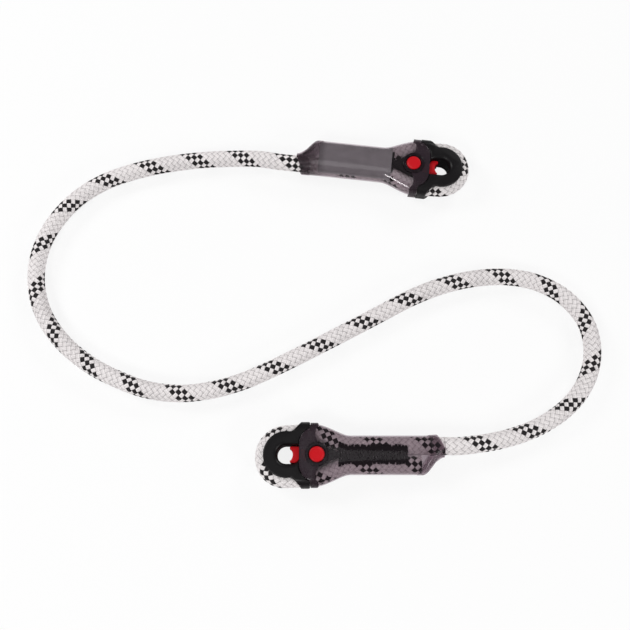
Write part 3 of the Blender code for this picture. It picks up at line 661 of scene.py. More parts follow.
def arc(centre, radius, start, end, steps):
    """Points along a circular arc, both ends included."""
    angles = [start + (end - start) * i / steps for i in range(steps + 1)]
    return [(centre[0] + radius * math.cos(a), centre[1] + radius * math.sin(a)) for a in angles]


def bend(start, control, end, steps):
    """Points along a quadratic curve that leaves start and reaches end towards control."""
    points = []
    for t in (i / steps for i in range(steps + 1)):
        points.append(tuple(
            (1 - t) ** 2 * a + 2 * t * (1 - t) * c + t * t * b
            for a, c, b in zip(start, control, end)
        ))
    return points


def mirrored(points):
    """An outline from its +Y half."""
    return points + [(x, -y) for x, y in reversed(points) if abs(y) > 1e-9]


# Braid


def braid_turns(length, pitch):
    """Turns of a strand about the rope from mouth a to a length along it; the braid has slipped twice."""
    drawn = DRAWN_TURNS * np.exp(-(((length - DRAWN_PLACE) / DRAWN_REACH) ** 2))
    slip = SLIP_TURNS * np.tanh((length - SLIP_PLACE) / SLIP_REACH)
    return START_TURNS + length / pitch + drawn - slip


def mouth_turns(run):
    """How far the free rope's braid is turned at both mouths."""
    return END_TURNS * (np.exp(-run / END_REACH) - np.exp((run - run[-1]) / END_REACH))


def eye_turns(side, middle):
    """How far an eye's braid has slipped at the mouth and is twisted round the loop's middle."""
    slip, twist = TERMINALS[side]["slip"], TERMINALS[side]["twist"]
    return lambda run: slip + twist * smoothstep((run - middle) / TWIST_REACH + 0.5)


def braid_height(turns, along):
    """The braid's relief, from 0 in the crossings to 1 on the crown of a float."""
    p, q = STRANDS * (turns - along), STRANDS * (turns + along)
    heights = []
    for own, other, rise in ((p, q, FLOAT_RISE_SHARE), (q, p, -FLOAT_RISE_SHARE)):
        strand = np.round(own)
        heights.append(rise * np.cos(math.pi * (other + strand)) + 1 - 4 * (own - strand) ** 2)
    return np.maximum(*heights) / (1 + FLOAT_RISE_SHARE)


def braided_tube(name, line, start, finish, rope, turned_by):
    """A plaited rope along a line that begins at start along the whole braid; turned_by adds turns."""
    points, length = evenly(line, rope.pitch / STRANDS / CELL_SIDES * CELL_STRETCH)
    up, side = across_line(points)
    rings = len(points) - 1
    run = start + np.linspace(0.0, length, rings + 1)
    along = braid_turns(run, rope.pitch) + turned_by(run)

    def place(turn, ring):
        turns = turn - 0.5
        relief = braid_height(turns, along[ring]) - 1
        radius = ROPE_RADIUS + CROWN_RISE + relief * rope.relief
        angle = math.tau * turns
        offset = np.cos(angle)[:, None] * up[ring] + np.sin(angle)[:, None] * side[ring]
        return points[ring] + radius[:, None] * offset

    def braid_map(turn, ring):
        return turn - 0.5, along[ring]

    bm = rolled_grid(name, STRANDS * CELL_SIDES, rings, place, ("braid", braid_map), close_ends=True)
    obj = object_from(name, bm, finish, sharp=80.0)
    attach(obj, ROOT)
    return obj, points, length


# Solids


def coordinates(mesh):
    """A mesh's vertices as an array."""
    flat = np.empty(len(mesh.vertices) * 3)
    mesh.vertices.foreach_get("co", flat)
    return flat.reshape(-1, 3)


def object_from(name, bm, finish=None, sharp=35.0, recalculate=True):
    """An object from a bmesh, smooth except at its sharp edges."""
    if recalculate:
        bmesh.ops.recalc_face_normals(bm, faces=bm.faces)
    mesh = bpy.data.meshes.new(name)
    bm.to_mesh(mesh)
    bm.free()
    smooth_between(mesh, sharp)
    if finish:
        mesh.materials.append(finish)
    return linked(name, mesh)


def smooth_between(mesh, sharp):
    """Shades a mesh smooth, except at edges sharper than so many degrees."""
    mesh.shade_smooth()
    mesh.set_sharp_from_angle(angle=math.radians(sharp))


def linked(name, data):
    """A new object in the scene."""
    obj = bpy.data.objects.new(name, data)
    bpy.context.scene.collection.objects.link(obj)
    return obj


def rolled_grid(name, around, rings, place, uv=None, close_ends=False):
    """A grid rolled into a tube: place gives each vertex its position from (turn share, ring number)."""
    bm = bmesh.new()
    bm.loops.layers.uv.new(uv[0] if uv else "skin")
    bmesh.ops.create_grid(bm, x_segments=around, y_segments=rings, size=1.0, calc_uvs=True)
    mesh = bpy.data.meshes.new(name)
    bm.to_mesh(mesh)
    flat = coordinates(mesh)
    turn = (flat[:, 0] + 1) / 2
    ring = np.rint((flat[:, 1] + 1) / 2 * rings).astype(int)
    mesh.vertices.foreach_set("co", place(turn, ring).astype(np.float32).ravel())
    if uv:
        data = mesh.uv_layers[0].data
        values = np.empty(len(data) * 2)
        data.foreach_get("uv", values)
        values = values.reshape(-1, 2)
        mapped = uv[1](values[:, 0], np.rint(values[:, 1] * rings).astype(int))
        data.foreach_set("uv", np.stack(mapped, axis=1).astype(np.float32).ravel())
    bm.clear()
    bm.from_mesh(mesh)
    bpy.data.meshes.remove(mesh)
    bmesh.ops.remove_doubles(bm, verts=bm.verts, dist=SKIN / 100)
    if close_ends:
        bmesh.ops.holes_fill(bm, edges=[e for e in bm.edges if e.is_boundary], sides=0)
    return bm


def slab(name, outline, half, rounding=0.0, segments=3):
    """An outline raised by half to both sides of the mid plane, its two rims rounded."""
    bm = bmesh.new()
    base = bm.faces.new([bm.verts.new((x, y, -half)) for x, y in outline])
    raised = bmesh.ops.extrude_face_region(bm, geom=[base])
    top = [v for v in raised["geom"] if isinstance(v, bmesh.types.BMVert)]
    bmesh.ops.translate(bm, verts=top, vec=(0, 0, 2 * half))
    if rounding:
        rims = [e for e in bm.edges if abs(e.verts[0].co.z - e.verts[1].co.z) < SKIN]
        bmesh.ops.bevel(
            bm, geom=rims, offset=rounding, segments=segments, profile=0.5, affect="EDGES", material=-1
        )
    return object_from(name, bm)


def turned(name, profile, hollow=False, steps=96, side=1):
    """A solid spun about the button's axis, from (radius, z) points; a hollow one is a closed ring."""
    line = profile if hollow else [(0.0, profile[0][1]), *profile, (0.0, profile[-1][1])]
    bm = bmesh.new()
    verts = [bm.verts.new((BUTTON_X + radius, 0, side * z)) for radius, z in line]
    edges = [bm.edges.new((verts[i - 1], verts[i])) for i in range(0 if hollow else 1, len(verts))]
    middle, up = (BUTTON_X, 0, 0), (0, 0, 1)
    bmesh.ops.spin(
        bm, geom=verts + edges, cent=middle, axis=up, angle=math.tau, steps=steps, use_merge=True
    )
    bmesh.ops.remove_doubles(bm, verts=bm.verts, dist=SKIN / 100)
    return object_from(name, bm)


def bridge_rings(bm, rings):
    """Closes a solid through rings that all have the same number of points."""
    loops = []
    for ring in rings:
        verts = [bm.verts.new(point) for point in ring]
        loops.append([bm.edges.new((verts[i - 1], verts[i])) for i in range(len(verts))])
    for first, second in zip(loops, loops[1:]):
        bmesh.ops.bridge_loops(bm, edges=first + second)
    for ends in (loops[0], loops[-1]):
        bmesh.ops.contextual_create(bm, geom=ends)


def loft(name, rings):
    """A solid of its own through rings of points."""
    bm = bmesh.new()
    bridge_rings(bm, rings)
    return object_from(name, bm)


def combine(target, operation, *others):
    """Adds a Boolean of each other object to target."""
    for other in others:
        modifier = target.modifiers.new(other.name, "BOOLEAN")
        modifier.operation = operation
        modifier.object = other


def finished(obj, finish, sharp=35.0):
    """The evaluated solid of an object as a mesh of its own, in the terminal's frame."""
    bpy.context.view_layer.update()
    graph = bpy.context.evaluated_depsgraph_get()
    mesh = bpy.data.meshes.new_from_object(obj.evaluated_get(graph))
    smooth_between(mesh, sharp)
    mesh.materials.clear()
    mesh.materials.append(finish)
    for helper in [obj, *[m.object for m in obj.modifiers]]:
        bpy.data.objects.remove(helper, do_unlink=True)
    return mesh


def shown(name, mesh, side, body, nodes=(), turn=0.0):
    """A copy of a terminal's mesh in its place, riding on its body."""
    copy = mesh.copy()
    copy.name = name
    copy.transform(terminal_matrix(side) @ Matrix.Rotation(turn, 4, "X"))
    obj = linked(name, copy)
    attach(obj, body)
    if nodes:
        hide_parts(*nodes)
    return obj


# Sleeve


def tapered(x):
    """How far the sleeve has become a circle at x."""
    return smoothstep(progress(x, TAPER_START, TAPER_END))


def sleeve_point(turn, x, grow):
    """Points of the sleeve's cross-section, an oval over both legs that becomes a circle."""
    share = tapered(x)
    high = leg_offset(x)
    low = -high + (LEG_SPREAD + high) * share
    mouth_radius = ROPE_RADIUS + MOUTH_WALL
    across = leg_half_width(x) + SIDE_WALL
    across = across + (mouth_radius - across) * share
    up = SLEEVE_HALF + (mouth_radius - SLEEVE_HALF) * share
    half = (high - low) / 2 + across + grow * np.where(grow < 0, SIDE_WALL_SHARE, 1.0)
    power = 2 / (SECTION_POWER + (2 - SECTION_POWER) * share)
    cosine, sine = np.cos(math.tau * turn), np.sin(math.tau * turn)
    y = (low + high) / 2 + half * np.sign(cosine) * np.abs(cosine) ** power
    return y, (up + grow) * np.sign(sine) * np.abs(sine) ** power


def mouth_edge(y):
    """Where the slanting mouth ends, at a distance from the terminal's axis."""
    return MOUTH - (MOUTH - MOUTH_CUT_TOP) * progress(y, MOUTH_CUT_SIDE, SLEEVE_SIDE)


def build_sleeve_shell(finish):
    """The thin smoked tube over both legs."""
    outer, inner = 86, 24
    out, back = np.linspace(SLEEVE_START, MOUTH, outer), np.linspace(MOUTH, SLEEVE_START, inner)
    xs = np.concatenate([out, back, [SLEEVE_START]])
    grow = np.concatenate([np.zeros(outer), np.full(inner, -SLEEVE_WALL), [0.0]])

    def place(turn, ring):
        x = xs[ring]
        y, z = sleeve_point(turn, x, grow[ring])
        x = x - progress(x, TAPER_START, MOUTH) * (MOUTH - mouth_edge(y))
        return np.stack([x, y, z], axis=1)

    def sleeve_map(turn, ring):
        return turn, (xs[ring] - SLEEVE_START) / (MOUTH - SLEEVE_START)

    bm = rolled_grid("sleeve_shell", AROUND, len(xs) - 1, place, ("sleeve", sleeve_map))
    return finished(object_from("sleeve_shell", bm), finish)


def build_mouth_collar(finish):
    """The thicker band round the slanting mouth, with rounded edges."""
    corner, corner_steps, band_steps, rounds = COLLAR_RISE / 2, 4, 12, 6
    turns = np.linspace(QUARTER, 0, corner_steps)
    starts = np.array([0.0, *(corner * (1 - math.sin(a)) for a in turns)])
    rises = np.array([SKIN, *(COLLAR_RISE - corner + corner * math.cos(a) for a in turns)])
    count, out = len(starts), OVERRUN / 4
    band = np.linspace(0, 1, band_steps + 2)[1:-1]
    share = np.concatenate([np.zeros(count), band, np.ones(count), [1.0, 0.0, 0.0]])
    shift = np.concatenate([starts, np.zeros(band_steps), -starts[::-1] + out, [out, 0.0, 0.0]])
    inside = [-SLEEVE_WALL / 2, SKIN, SKIN]
    rise = np.concatenate([rises, np.full(band_steps, COLLAR_RISE), rises[::-1], inside])

    def place(turn, ring):
        x = np.full(len(turn), (TAPER_START + MOUTH) / 2)
        for _ in range(rounds):
            y, z = sleeve_point(turn, x, rise[ring] * (0.3 + 0.7 * tapered(x)))
            start = np.interp(y, COLLAR_PLACES, COLLAR_STARTS)
            x = start + (mouth_edge(y) - start) * share[ring] + shift[ring]
        return np.stack([x, y, z], axis=1)

    bm = rolled_grid("mouth_collar", AROUND, len(share) - 1, place)
    return finished(object_from("mouth_collar", bm), finish)


def rounded_bar(name, start, end, half_width, half_thickness):
    """A bar along X whose cross-section is a rectangle with round corners."""
    quarter = arc((half_width - BAR_CORNER, half_thickness - BAR_CORNER), BAR_CORNER, 0, QUARTER, 16)
    half = quarter + [(-y, z) for y, z in reversed(quarter)]
    outline = half + [(y, -z) for y, z in reversed(half)]
    return loft(name, [[(x, y, z) for y, z in outline] for x in (start, end)])


def shoulder_edge(shift):
    """The curved seam between the thimble's face and the yoke, from the ear inwards."""
    start = (EAR_END + shift, EAR_HALF_WIDTH - 4 * MM)
    control = (SHOULDER_REACH + shift, LOOP_RADIUS - 0.7 * MM)
    return bend(start, control, (SHOULDER_REACH + shift, KEEPER_HALF_WIDTH), 16)


def section_loft(name, start, end, grow, steps=24):
    """A solid that fills the sleeve's cross-section from start to end."""
    turn = np.linspace(0.0, 1.0, 97)[:-1]
    rings = []
    for x in np.linspace(start, end, steps + 1):
        y, z = sleeve_point(turn, np.full(len(turn), x), grow)
        rings.append([(x, a, b) for a, b in zip(y, z)])
    return loft(name, rings)


def build_yoke(finish):
    """The thicker moulding round the buttons, its ears and its waist."""
    ear, corner, lip, rounding = 0.7 * MM, 1.3 * MM, 0.6 * MM, 0.5 * MM
    hole, top, reach = RING_RADIUS - 0.6 * MM, YOKE_HALF + OVERRUN, YOKE_END + OVERRUN
    front = arc((EAR_END + SEAM + lip, YOKE_HALF_WIDTH - lip), lip, QUARTER, math.pi, 4)
    front += shoulder_edge(SEAM)
    band = arc((YOKE_END - corner, YOKE_HALF_WIDTH - corner), corner, QUARTER, 0, 6)
    waist_start = (YOKE_END, YOKE_HALF_WIDTH - corner - ear)
    waist = bend(waist_start, WAIST, (YOKE_END, RING_RADIUS), 16)
    yoke = slab("yoke", mirrored(front[::-1] + band + waist), YOKE_HALF, rounding)
    combine(yoke, "INTERSECT", rounded_bar("yoke_bar", SHOULDER_REACH, reach, YOKE_HALF_WIDTH, YOKE_HALF))
    combine(
        yoke, "DIFFERENCE",
        section_loft("yoke_room", SHOULDER_REACH - OVERRUN, SLEEVE_START, SKIN - SLEEVE_WALL),
        section_loft("yoke_seat", SLEEVE_START - SKIN, YOKE_END + 2 * OVERRUN, SKIN),
        turned("yoke_hole", [(hole, top), (hole, -top)]),
    )
    return finished(yoke, finish)


def build_ring_boss(finish):
    """The raised ring round a push button, with its countersunk hole."""
    top, foot = TERMINAL_HEIGHT, CAVITY_HALF + 0.3 * MM
    hole, outside, inside = BUTTON_RADIUS + 0.25 * MM, 0.45 * MM, 0.4 * MM
    wall_end, sink, sink_end = top - 0.5 * MM, 0.75 * MM, top - 0.9 * MM
    profile = [(RING_RADIUS, foot), (RING_RADIUS, wall_end)]
    profile += arc((RING_RADIUS - outside, top - outside), outside, 0.0, QUARTER, 5)
    profile += arc((hole + sink, top - inside), inside, QUARTER, math.pi * 0.8, 4)
    profile += [(hole, sink_end), (hole, foot)]
    return finished(turned("ring_boss", profile, hollow=True), finish)


# Thimble, keeper and buttons


def eye_cutter():
    """The connector's eye: a round-ended slot that opens out to both faces, with a corner in the cheeks."""
    steps, corner_start, corner_end, back = 8, 4.6 * MM, 7.4 * MM, 12 * MM
    levels = [(THIMBLE_HALF + OVERRUN, CHEEK_ROUNDING)]
    for angle in (QUARTER * (1 - i / steps) for i in range(steps + 1)):
        depth, grow = CHEEK_ROUNDING * (1 - math.sin(angle)), CHEEK_ROUNDING * (1 - math.cos(angle))
        levels.append((THIMBLE_HALF - depth, grow))
    levels.append((CHEEK_INSIDE, 0.0))
    levels += [(-z, grow) for z, grow in reversed(levels)]
    rings = []
    for z, grow in levels:
        radius = EYE_RADIUS + grow
        closed = (CHEEK_CORNER if abs(z) > CHEEK_INSIDE else 0.0) - radius
        outline = arc((0, 0), radius, QUARTER, 3 * QUARTER, 48)
        outline += [(corner_start, -radius), (corner_end, closed), (back, closed), (back, radius)]
        rings.append([(x, y, z) for x, y in outline])
    return loft("eye_cutter", rings)


def rope_groove():
    """The rope's seat round the thimble."""
    line = [(x, leg_offset(x)) for x in np.arange(GROOVE_REACH, 0.0, -GROOVE_STEP)]
    line += arc((0, 0), LOOP_RADIUS, QUARTER, 3 * QUARTER, 56)
    line += [(x, -leg_offset(x)) for x in np.arange(GROOVE_STEP, GROOVE_REACH, GROOVE_STEP)]
    points = np.array([leaned(x, y) for x, y in line])
    up, side = across_line(points)
    radius = ROPE_RADIUS + GROOVE_GAP

    def place(turn, ring):
        angle = math.tau * turn
        offset = np.sin(angle)[:, None] * up[ring] - np.cos(angle)[:, None] * side[ring]
        return points[ring] + radius * offset

    return object_from("rope_groove", rolled_grid("groove", 48, len(points) - 1, place, close_ends=True))


def build_thimble(finish):
    """The moulded thimble: cheeks with a rope groove, ears, the eye and the keeper's pocket."""
    lip, rim, ear_reach = 1.1 * MM, 0.9 * MM, 16 * MM
    run = (EAR_HALF_WIDTH - FLANGE_RADIUS) / math.tan(EAR_SLOPE)
    outline = arc((0, 0), FLANGE_RADIUS, math.pi, math.radians(80), 56)
    outline += bend(outline[-1], (EAR_FRONT - run, FLANGE_RADIUS), (EAR_FRONT, EAR_HALF_WIDTH), 14)[1:]
    outline += arc((EAR_END - lip, EAR_HALF_WIDTH - lip), lip, QUARTER, 0, 4)
    body = slab("thimble", mirrored(outline + shoulder_edge(0.0)), THIMBLE_HALF, rim, 4)
    bar = rounded_bar("ear_rounding", -ear_reach, EAR_END + OVERRUN, EAR_HALF_WIDTH, THIMBLE_HALF)
    combine(body, "INTERSECT", bar)
    combine(body, "UNION", slab("tail", mirrored(TAIL_EDGE), TAIL_HALF))

    # The pocket holds the keeper's tongue, and each bore a button with its collar and stem
    pocket, pocket_end, pocket_half = 3.6 * MM, 22.1 * MM, 2.9 * MM
    outline = [(0, pocket), (0, -pocket)] + arc((pocket_end, 0), pocket, -QUARTER, QUARTER, 24)
    cap_bore, stem_bore, seat, face = 5.95 * MM, 2.1 * MM, 4.15 * MM, 9 * MM
    bore = [(cap_bore, face), (cap_bore, seat), (stem_bore, seat), (stem_bore, 0.0)]
    bores = [turned(f"bore_{side}", bore, steps=64, side=side) for side in (-1, 1)]
    combine(body, "DIFFERENCE", rope_groove(), eye_cutter(), slab("pocket", outline, pocket_half), *bores)
    return finished(body, finish)


def build_keeper(finish):
    """The keeper: a hollow seat between two horns, and a slotted tongue."""
    head_half, tongue_half, rim, head_length = 4.6 * MM, 2.6 * MM, 0.35 * MM, 6 * MM
    depth, radius, horn_radius, reach = 3.9 * MM, 5.4 * MM, 1.1 * MM, 2.1 * MM
    horn, horn_x, back = KEEPER_HALF_WIDTH - horn_radius, reach + horn_radius, reach + head_length
    opening = math.asin((horn - horn_radius / 2) / radius)
    outline = arc((depth - radius, 0), radius, -opening, opening, 20)
    outline += arc((horn_x, horn), horn_radius, math.pi * 1.1, QUARTER, 8)
    outline += [(back, KEEPER_HALF_WIDTH)]
    foot = (horn_x + horn_radius, -KEEPER_HALF_WIDTH)
    outline += bend((back, 0), (back, -KEEPER_HALF_WIDTH), foot, 12)
    outline += arc((horn_x, -horn), horn_radius, -QUARTER, -math.pi * 1.1, 8)
    head = slab("keeper", outline, head_half, rim)

    # The tongue slides in the pocket, and the buttons' stems stand in its slot
    start, end, half, slot_half, slot_reach = 5.1 * MM, 18.5 * MM, 3.3 * MM, 2.1 * MM, 4 * MM
    outline = [(start, half), (start, -half)] + arc((end, 0), half, -QUARTER, QUARTER, 24)
    combine(head, "UNION", slab("tongue", outline, tongue_half))
    slot = arc((BUTTON_X, 0), slot_half, -QUARTER, QUARTER, 20)
    slot += arc((BUTTON_X - KEEPER_TRAVEL, 0), slot_half, QUARTER, 3 * QUARTER, 20)
    combine(head, "DIFFERENCE", slab("stem_slot", slot, slot_reach))
    return finished(head, finish)


def build_button(finish):
    """A push button: dished cap, retaining collar and bored stem."""
    top, edge, dish = TERMINAL_HEIGHT - 0.3 * MM, 0.5 * MM, 0.4 * MM
    bore, bore_end, stem, stem_end = 1.3 * MM, 4.9 * MM, 1.8 * MM, 1.9 * MM
    collar, collar_low, collar_high = 5.65 * MM, 5.65 * MM, 6.55 * MM
    profile = [(bore, bore_end), (bore, stem_end), (stem, stem_end), (stem, collar_low)]
    profile += [(collar, collar_low), (collar, collar_high), (BUTTON_RADIUS, collar_high)]
    profile += arc((BUTTON_RADIUS - edge, top - edge), edge, 0.0, QUARTER, 6)
    profile += [(BUTTON_RADIUS * share, top - dish * (1 - share**4)) for share in (0.8, 0.68, 0.5, 0.3)]
    return finished(turned("button", profile), finish)


def build_spring_half(finish):
    """Half of the coil spring, from the terminal's middle to the bottom of a stem's bore."""
    turn_steps, half_turns, sides = 16, 3.5, 10
    rings = round(turn_steps * half_turns)

    def place(turn, ring):
        angle = math.tau * ring / turn_steps
        across = math.tau * turn
        radius = SPRING_RADIUS + SPRING_WIRE / 2 * np.cos(across)
        x = BUTTON_X + radius * np.cos(angle)
        z = SPRING_HALF * ring / rings + SPRING_WIRE / 2 * np.sin(across)
        return np.stack([x, radius * np.sin(angle), z], axis=1)

    bm = rolled_grid("spring_half", sides, rings, place, close_ends=True)
    return finished(object_from("spring_half", bm), finish)


# Sewing and label


def thread_point(x, share, lift, ragged):
    """A place on the legs' front: share runs from -1 on one leg to 1 on the other, over the valley."""
    radius, reach = THREAD_REST + lift, THREAD_REACH - ragged
    angle = reach + (VALLEY_REACH - reach) * (1 - min(abs(share), 1.0)) ** VALLEY_POWER
    y = max(float(leg_offset(x)) + radius * math.cos(angle), 0.0) * (1 if share > 0 else -1)
    return Vector((x, y, radius * math.sin(angle)))


def thread_line(x, lean, ragged, lift, steps=26):
    """One thread's path from leg to leg."""
    shares = [2 * i / steps - 1 for i in range(steps + 1)]
    return [thread_point(x + lean * share, share, lift, ragged[int(share > 0)]) for share in shares]


def add_thread(bm, line, thick, wide):
    """A flattened thread along a line, thinner at both ends."""
    sides, last = 6, len(line) - 1
    ring = [(math.cos(a), math.sin(a)) for a in np.linspace(0, math.tau, sides + 1)[:-1]]
    rings = []
    for place, point in enumerate(line):
        run = line[min(place + 1, last)] - line[max(place - 1, 0)]
        flat = Vector((-run.y, run.x, 0)).normalized()
        up = run.cross(flat).normalized()
        thin = THREAD_TIP if place in (0, last) else 1.0
        rings.append([point + flat * (thin * wide * a) + up * (thin * thick * b) for a, b in ring])
    bridge_rings(bm, rings)


def build_thread_block(groups, finish):
    """Sewing over the front of both legs: groups of threads with uneven ends over closely sewn rows."""
    random = np.random.default_rng(7)
    bm = bmesh.new()
    length = SEWING_END - SEWING_START
    pitch = length / groups
    for group in range(groups):
        x = SEWING_START + pitch * (group + 0.5)
        ends = random.uniform(-GROUP_UNEVEN, GROUP_UNEVEN, 2)
        lean = random.uniform(-GROUP_LEAN, GROUP_LEAN) * MM
        for place in (-1, 0, 1):
            uneven = ends + random.uniform(-THREAD_UNEVEN, THREAD_UNEVEN, 2)
            lift = random.uniform(0.0, THREAD_LIFT) * MM
            add_thread(bm, thread_line(x + place * pitch * THREAD_APART, lean, uneven, lift), *THREAD_SIZE)
    for row in range(ROWS):
        share = (2 * row / (ROWS - 1) - 1) * ROW_REACH
        wave = random.uniform(-ROW_WAVE, ROW_WAVE, ROW_STEPS)
        line = [
            thread_point(SEWING_START + length * place / (ROW_STEPS - 1), share + jog, ROW_LIFT, 0.0)
            for place, jog in enumerate(wave)
        ]
        add_thread(bm, line, *ROW_SIZE)
    return finished(object_from("stitching", bm), finish, sharp=60.0)


def build_label(finish):
    """The bare label film over the sewing, against the inside of the sleeve's front."""
    bm = bmesh.new()
    bmesh.ops.create_grid(bm, x_segments=30, y_segments=48, size=1.0)
    for vert in bm.verts:
        x = LABEL_START + (LABEL_END - LABEL_START) * (vert.co.x + 1) / 2
        y, z = sleeve_point(0.25 - 0.25 * LABEL_SHARE * vert.co.y, x, -SLEEVE_WALL - SKIN)
        vert.co = (x, y, z)
    bmesh.ops.recalc_face_normals(bm, faces=bm.faces)
    bmesh.ops.solidify(bm, geom=bm.faces[:], thickness=LABEL_THICKNESS)
    return finished(object_from("label", bm), finish)


# Operators


class LANYARD_OT_camera(bpy.types.Operator):
    """Puts the camera where the photograph was taken from"""

    bl_idname = "lanyard.camera"
    bl_label = "Camera"

    def execute(self, context):
        data = bpy.data.cameras.new("camera")
        data.lens = context.scene.lanyard_stage.lens / MM
        data.sensor_width = SENSOR_WIDTH
        camera = linked("camera", data)
        camera.location = CAMERA_PLACE
        camera.rotation_euler = (CAMERA_TILT, 0.0, 0.0)
        context.scene.camera = camera
        return {"FINISHED"}


class LANYARD_OT_ropes(bpy.types.Operator):
    """Plaits the free rope and the rope in both eyes"""

    bl_idname = "lanyard.ropes"
    bl_label = "Braided rope"

    def execute(self, context):
        rope = context.scene.lanyard_rope
        finish = rope_finish(rope)
        free, points, length = braided_tube("braid_free", free_route(), 0.0, finish, rope, mouth_turns)
        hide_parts("rope_free")
        gap = FREE_START - MOUTH
        for side in TERMINALS:
            line = eye_route(side)
            _, own = evenly(line, ROPE_RADIUS)
            start, middle = length + gap, length + gap + TWIST_PLACE
            if side == "a":
                start, middle = -gap - own, -gap - TWIST_PLACE
            eye, _, _ = braided_tube(f"braid_eye_{side}", line, start, finish, rope, eye_turns(side, middle))
            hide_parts(f"rope_eye_{side}")
        return {"FINISHED"}


class LANYARD_OT_thimbles(bpy.types.Operator):
    """Moulds the black thimble of each eye"""

    bl_idname = "lanyard.thimbles"
    bl_label = "Thimbles"

    def execute(self, context):
        colour = context.scene.lanyard_terminal.thimble
        mesh = build_thimble(moulded_finish("thimble_plastic", colour, 0.30, 0.35, wear=0.25))
        for side in TERMINALS:
            shown(f"thimble_body_{side}", mesh, side, ROOT, [f"thimble_{side}"])
        return {"FINISHED"}


class LANYARD_OT_keepers(bpy.types.Operator):
    """Makes the sliding keepers, the push buttons and their springs"""

    bl_idname = "lanyard.keepers"
    bl_label = "Keepers and buttons"

    def execute(self, context):
        finish = moulded_finish("red_plastic", context.scene.lanyard_terminal.red, 0.38, 0.2)
        keeper, button = build_keeper(finish), build_button(finish)
        spring = build_spring_half(steel_finish())
        for side in TERMINALS:
            shown(f"keeper_body_{side}", keeper, side, f"keeper_{side}", [f"keeper_{side}"])
            for face, turn in FACES.items():
                node = f"button_{face}_{side}"
                shown(f"push_{node}", button, side, node, [node], turn)
                name, whole = f"spring_{face}_{side}", [f"button_spring_{side}"]
                half = shown(name, spring, side, ROOT, whole, turn)
                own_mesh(half)
        return {"FINISHED"}


class LANYARD_OT_sleeves(bpy.types.Operator):
    """Moulds the smoked sleeves with their yokes, rings and mouth collars"""

    bl_idname = "lanyard.sleeves"
    bl_label = "Smoked sleeves"

    def execute(self, context):
        terminal = context.scene.lanyard_terminal
        yoke = build_yoke(smoked_finish("smoked_thick", terminal, terminal.yoke_cover, depth=2.5))
        ring = build_ring_boss(smoked_finish("smoked_ring", terminal, terminal.ring_cover))
        collar = build_mouth_collar(smoked_finish("smoked_band", terminal, terminal.collar_cover, 1.7, 0.32))
        for side, own in TERMINALS.items():
            # Each sleeve's film has its own painted shade towards the mouth and its own gloss
            looks = {"roughness": 0.07, "painted_mouth_shade": own["painted_mouth_shade"], "polish": own["polish"]}
            film = smoked_finish(f"smoked_film_{side}", terminal, terminal.sleeve_cover, **looks)
            shell = build_sleeve_shell(film)
            shown(f"sleeve_shell_{side}", shell, side, ROOT, [f"sleeve_{side}"])
            shown(f"sleeve_yoke_{side}", yoke, side, ROOT)
            shown(f"sleeve_mouth_{side}", collar, side, ROOT)
            for face, turn in FACES.items():
                shown(f"sleeve_ring_{face}_{side}", ring, side, ROOT, (), turn)
        return {"FINISHED"}


class LANYARD_OT_sewing(bpy.types.Operator):
    """Sews both legs of each eye together and lays the bare label over one block of sewing"""

    bl_idname = "lanyard.sewing"
    bl_label = "Sewing and label"

    def execute(self, context):
        terminal = context.scene.lanyard_terminal
        block = build_thread_block(terminal.threads, thread_finish(terminal.thread))
        for side in TERMINALS:
            for face, turn in FACES.items():
                node = f"stitching_{face}_{side}"
                shown(f"thread_{face}_{side}", block, side, ROOT, [node], turn)
        label = build_label(label_finish(terminal.label))
        shown("label_film_a", label, "a", ROOT, ["label_a"])
        return {"FINISHED"}


def lamp(name, place, width, height, watts):
    """A soft rectangular lamp that faces the lanyard."""
    data = bpy.data.lights.new(name, "AREA")
    data.shape, data.size, data.size_y, data.energy = "RECTANGLE", width, height, watts
    obj = linked(name, data)
    obj.location = place
    obj.rotation_euler = (-Vector(place)).to_track_quat("-Z", "Y").to_euler()


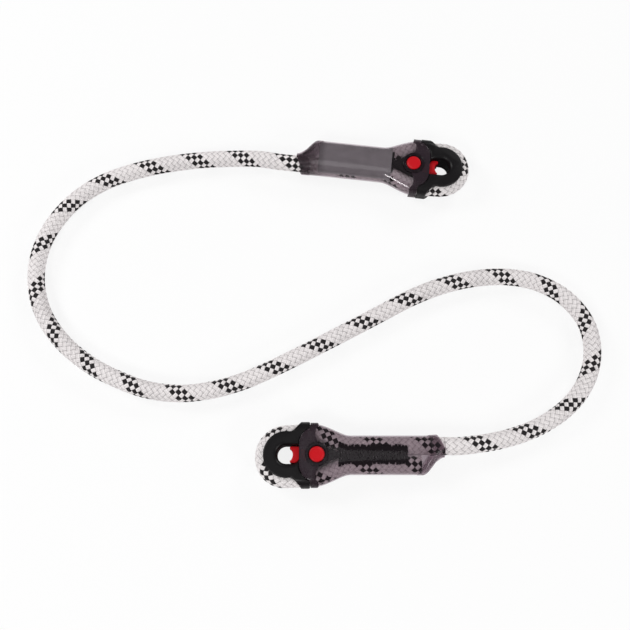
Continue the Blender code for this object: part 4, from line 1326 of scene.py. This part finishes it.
class LANYARD_OT_stage(bpy.types.Operator):
    """Lays the floor and hangs the lamps"""

    bl_idname = "lanyard.stage"
    bl_label = "Floor and lamps"

    def execute(self, context):
        stage = context.scene.lanyard_stage
        bm = bmesh.new()
        bmesh.ops.create_grid(bm, x_segments=1, y_segments=1, size=FLOOR_HALF)
        floor = object_from("floor", bm, floor_finish(stage.floor), recalculate=False)
        floor.data.transform(Matrix.Translation((0, 0, -FLOOR_DROP)))
        context.scene.world = surroundings(bpy.data.worlds.new("studio"), stage.ambient, stage.backdrop)
        for name, (place, width, height, setting) in LAMPS.items():
            lamp(name, place, width, height, getattr(stage, setting))
        context.scene.view_settings.view_transform = "Standard"
        return {"FINISHED"}


class LANYARD_PT_panel(bpy.types.Panel):
    """Lists the lanyard's operators"""

    bl_label = "Tree Climbing Lanyard"
    bl_idname = "LANYARD_PT_panel"
    bl_space_type = "VIEW_3D"
    bl_region_type = "UI"
    bl_category = "Lanyard"

    def draw(self, context):
        layout = self.layout
        for name in GROUPS:
            group, box = getattr(context.scene, name), layout.box()
            for setting in group.__annotations__:
                box.prop(group, setting)
        for operator in OPERATORS:
            layout.operator(operator.bl_idname)


OPERATORS = (
    LANYARD_OT_camera,
    LANYARD_OT_ropes,
    LANYARD_OT_thimbles,
    LANYARD_OT_keepers,
    LANYARD_OT_sleeves,
    LANYARD_OT_sewing,
    LANYARD_OT_stage,
)
GROUPS = {"lanyard_rope": LanyardRope, "lanyard_terminal": LanyardTerminal, "lanyard_stage": LanyardStage}
CLASSES = (*GROUPS.values(), *OPERATORS, LANYARD_PT_panel)


def register():
    for cls in CLASSES:
        bpy.utils.register_class(cls)
    for name, cls in GROUPS.items():
        setattr(bpy.types.Scene, name, PointerProperty(type=cls))


def unregister():
    for name in GROUPS:
        delattr(bpy.types.Scene, name)
    for cls in reversed(CLASSES):
        bpy.utils.unregister_class(cls)


def main():
    """Builds the whole lanyard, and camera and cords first."""
    register()
    bpy.ops.lanyard.camera()
    bpy.ops.lanyard.ropes()
    bpy.ops.lanyard.thimbles()
    bpy.ops.lanyard.keepers()
    bpy.ops.lanyard.sleeves()
    bpy.ops.lanyard.sewing()
    bpy.ops.lanyard.stage()


if __name__ == "__main__":
    main()
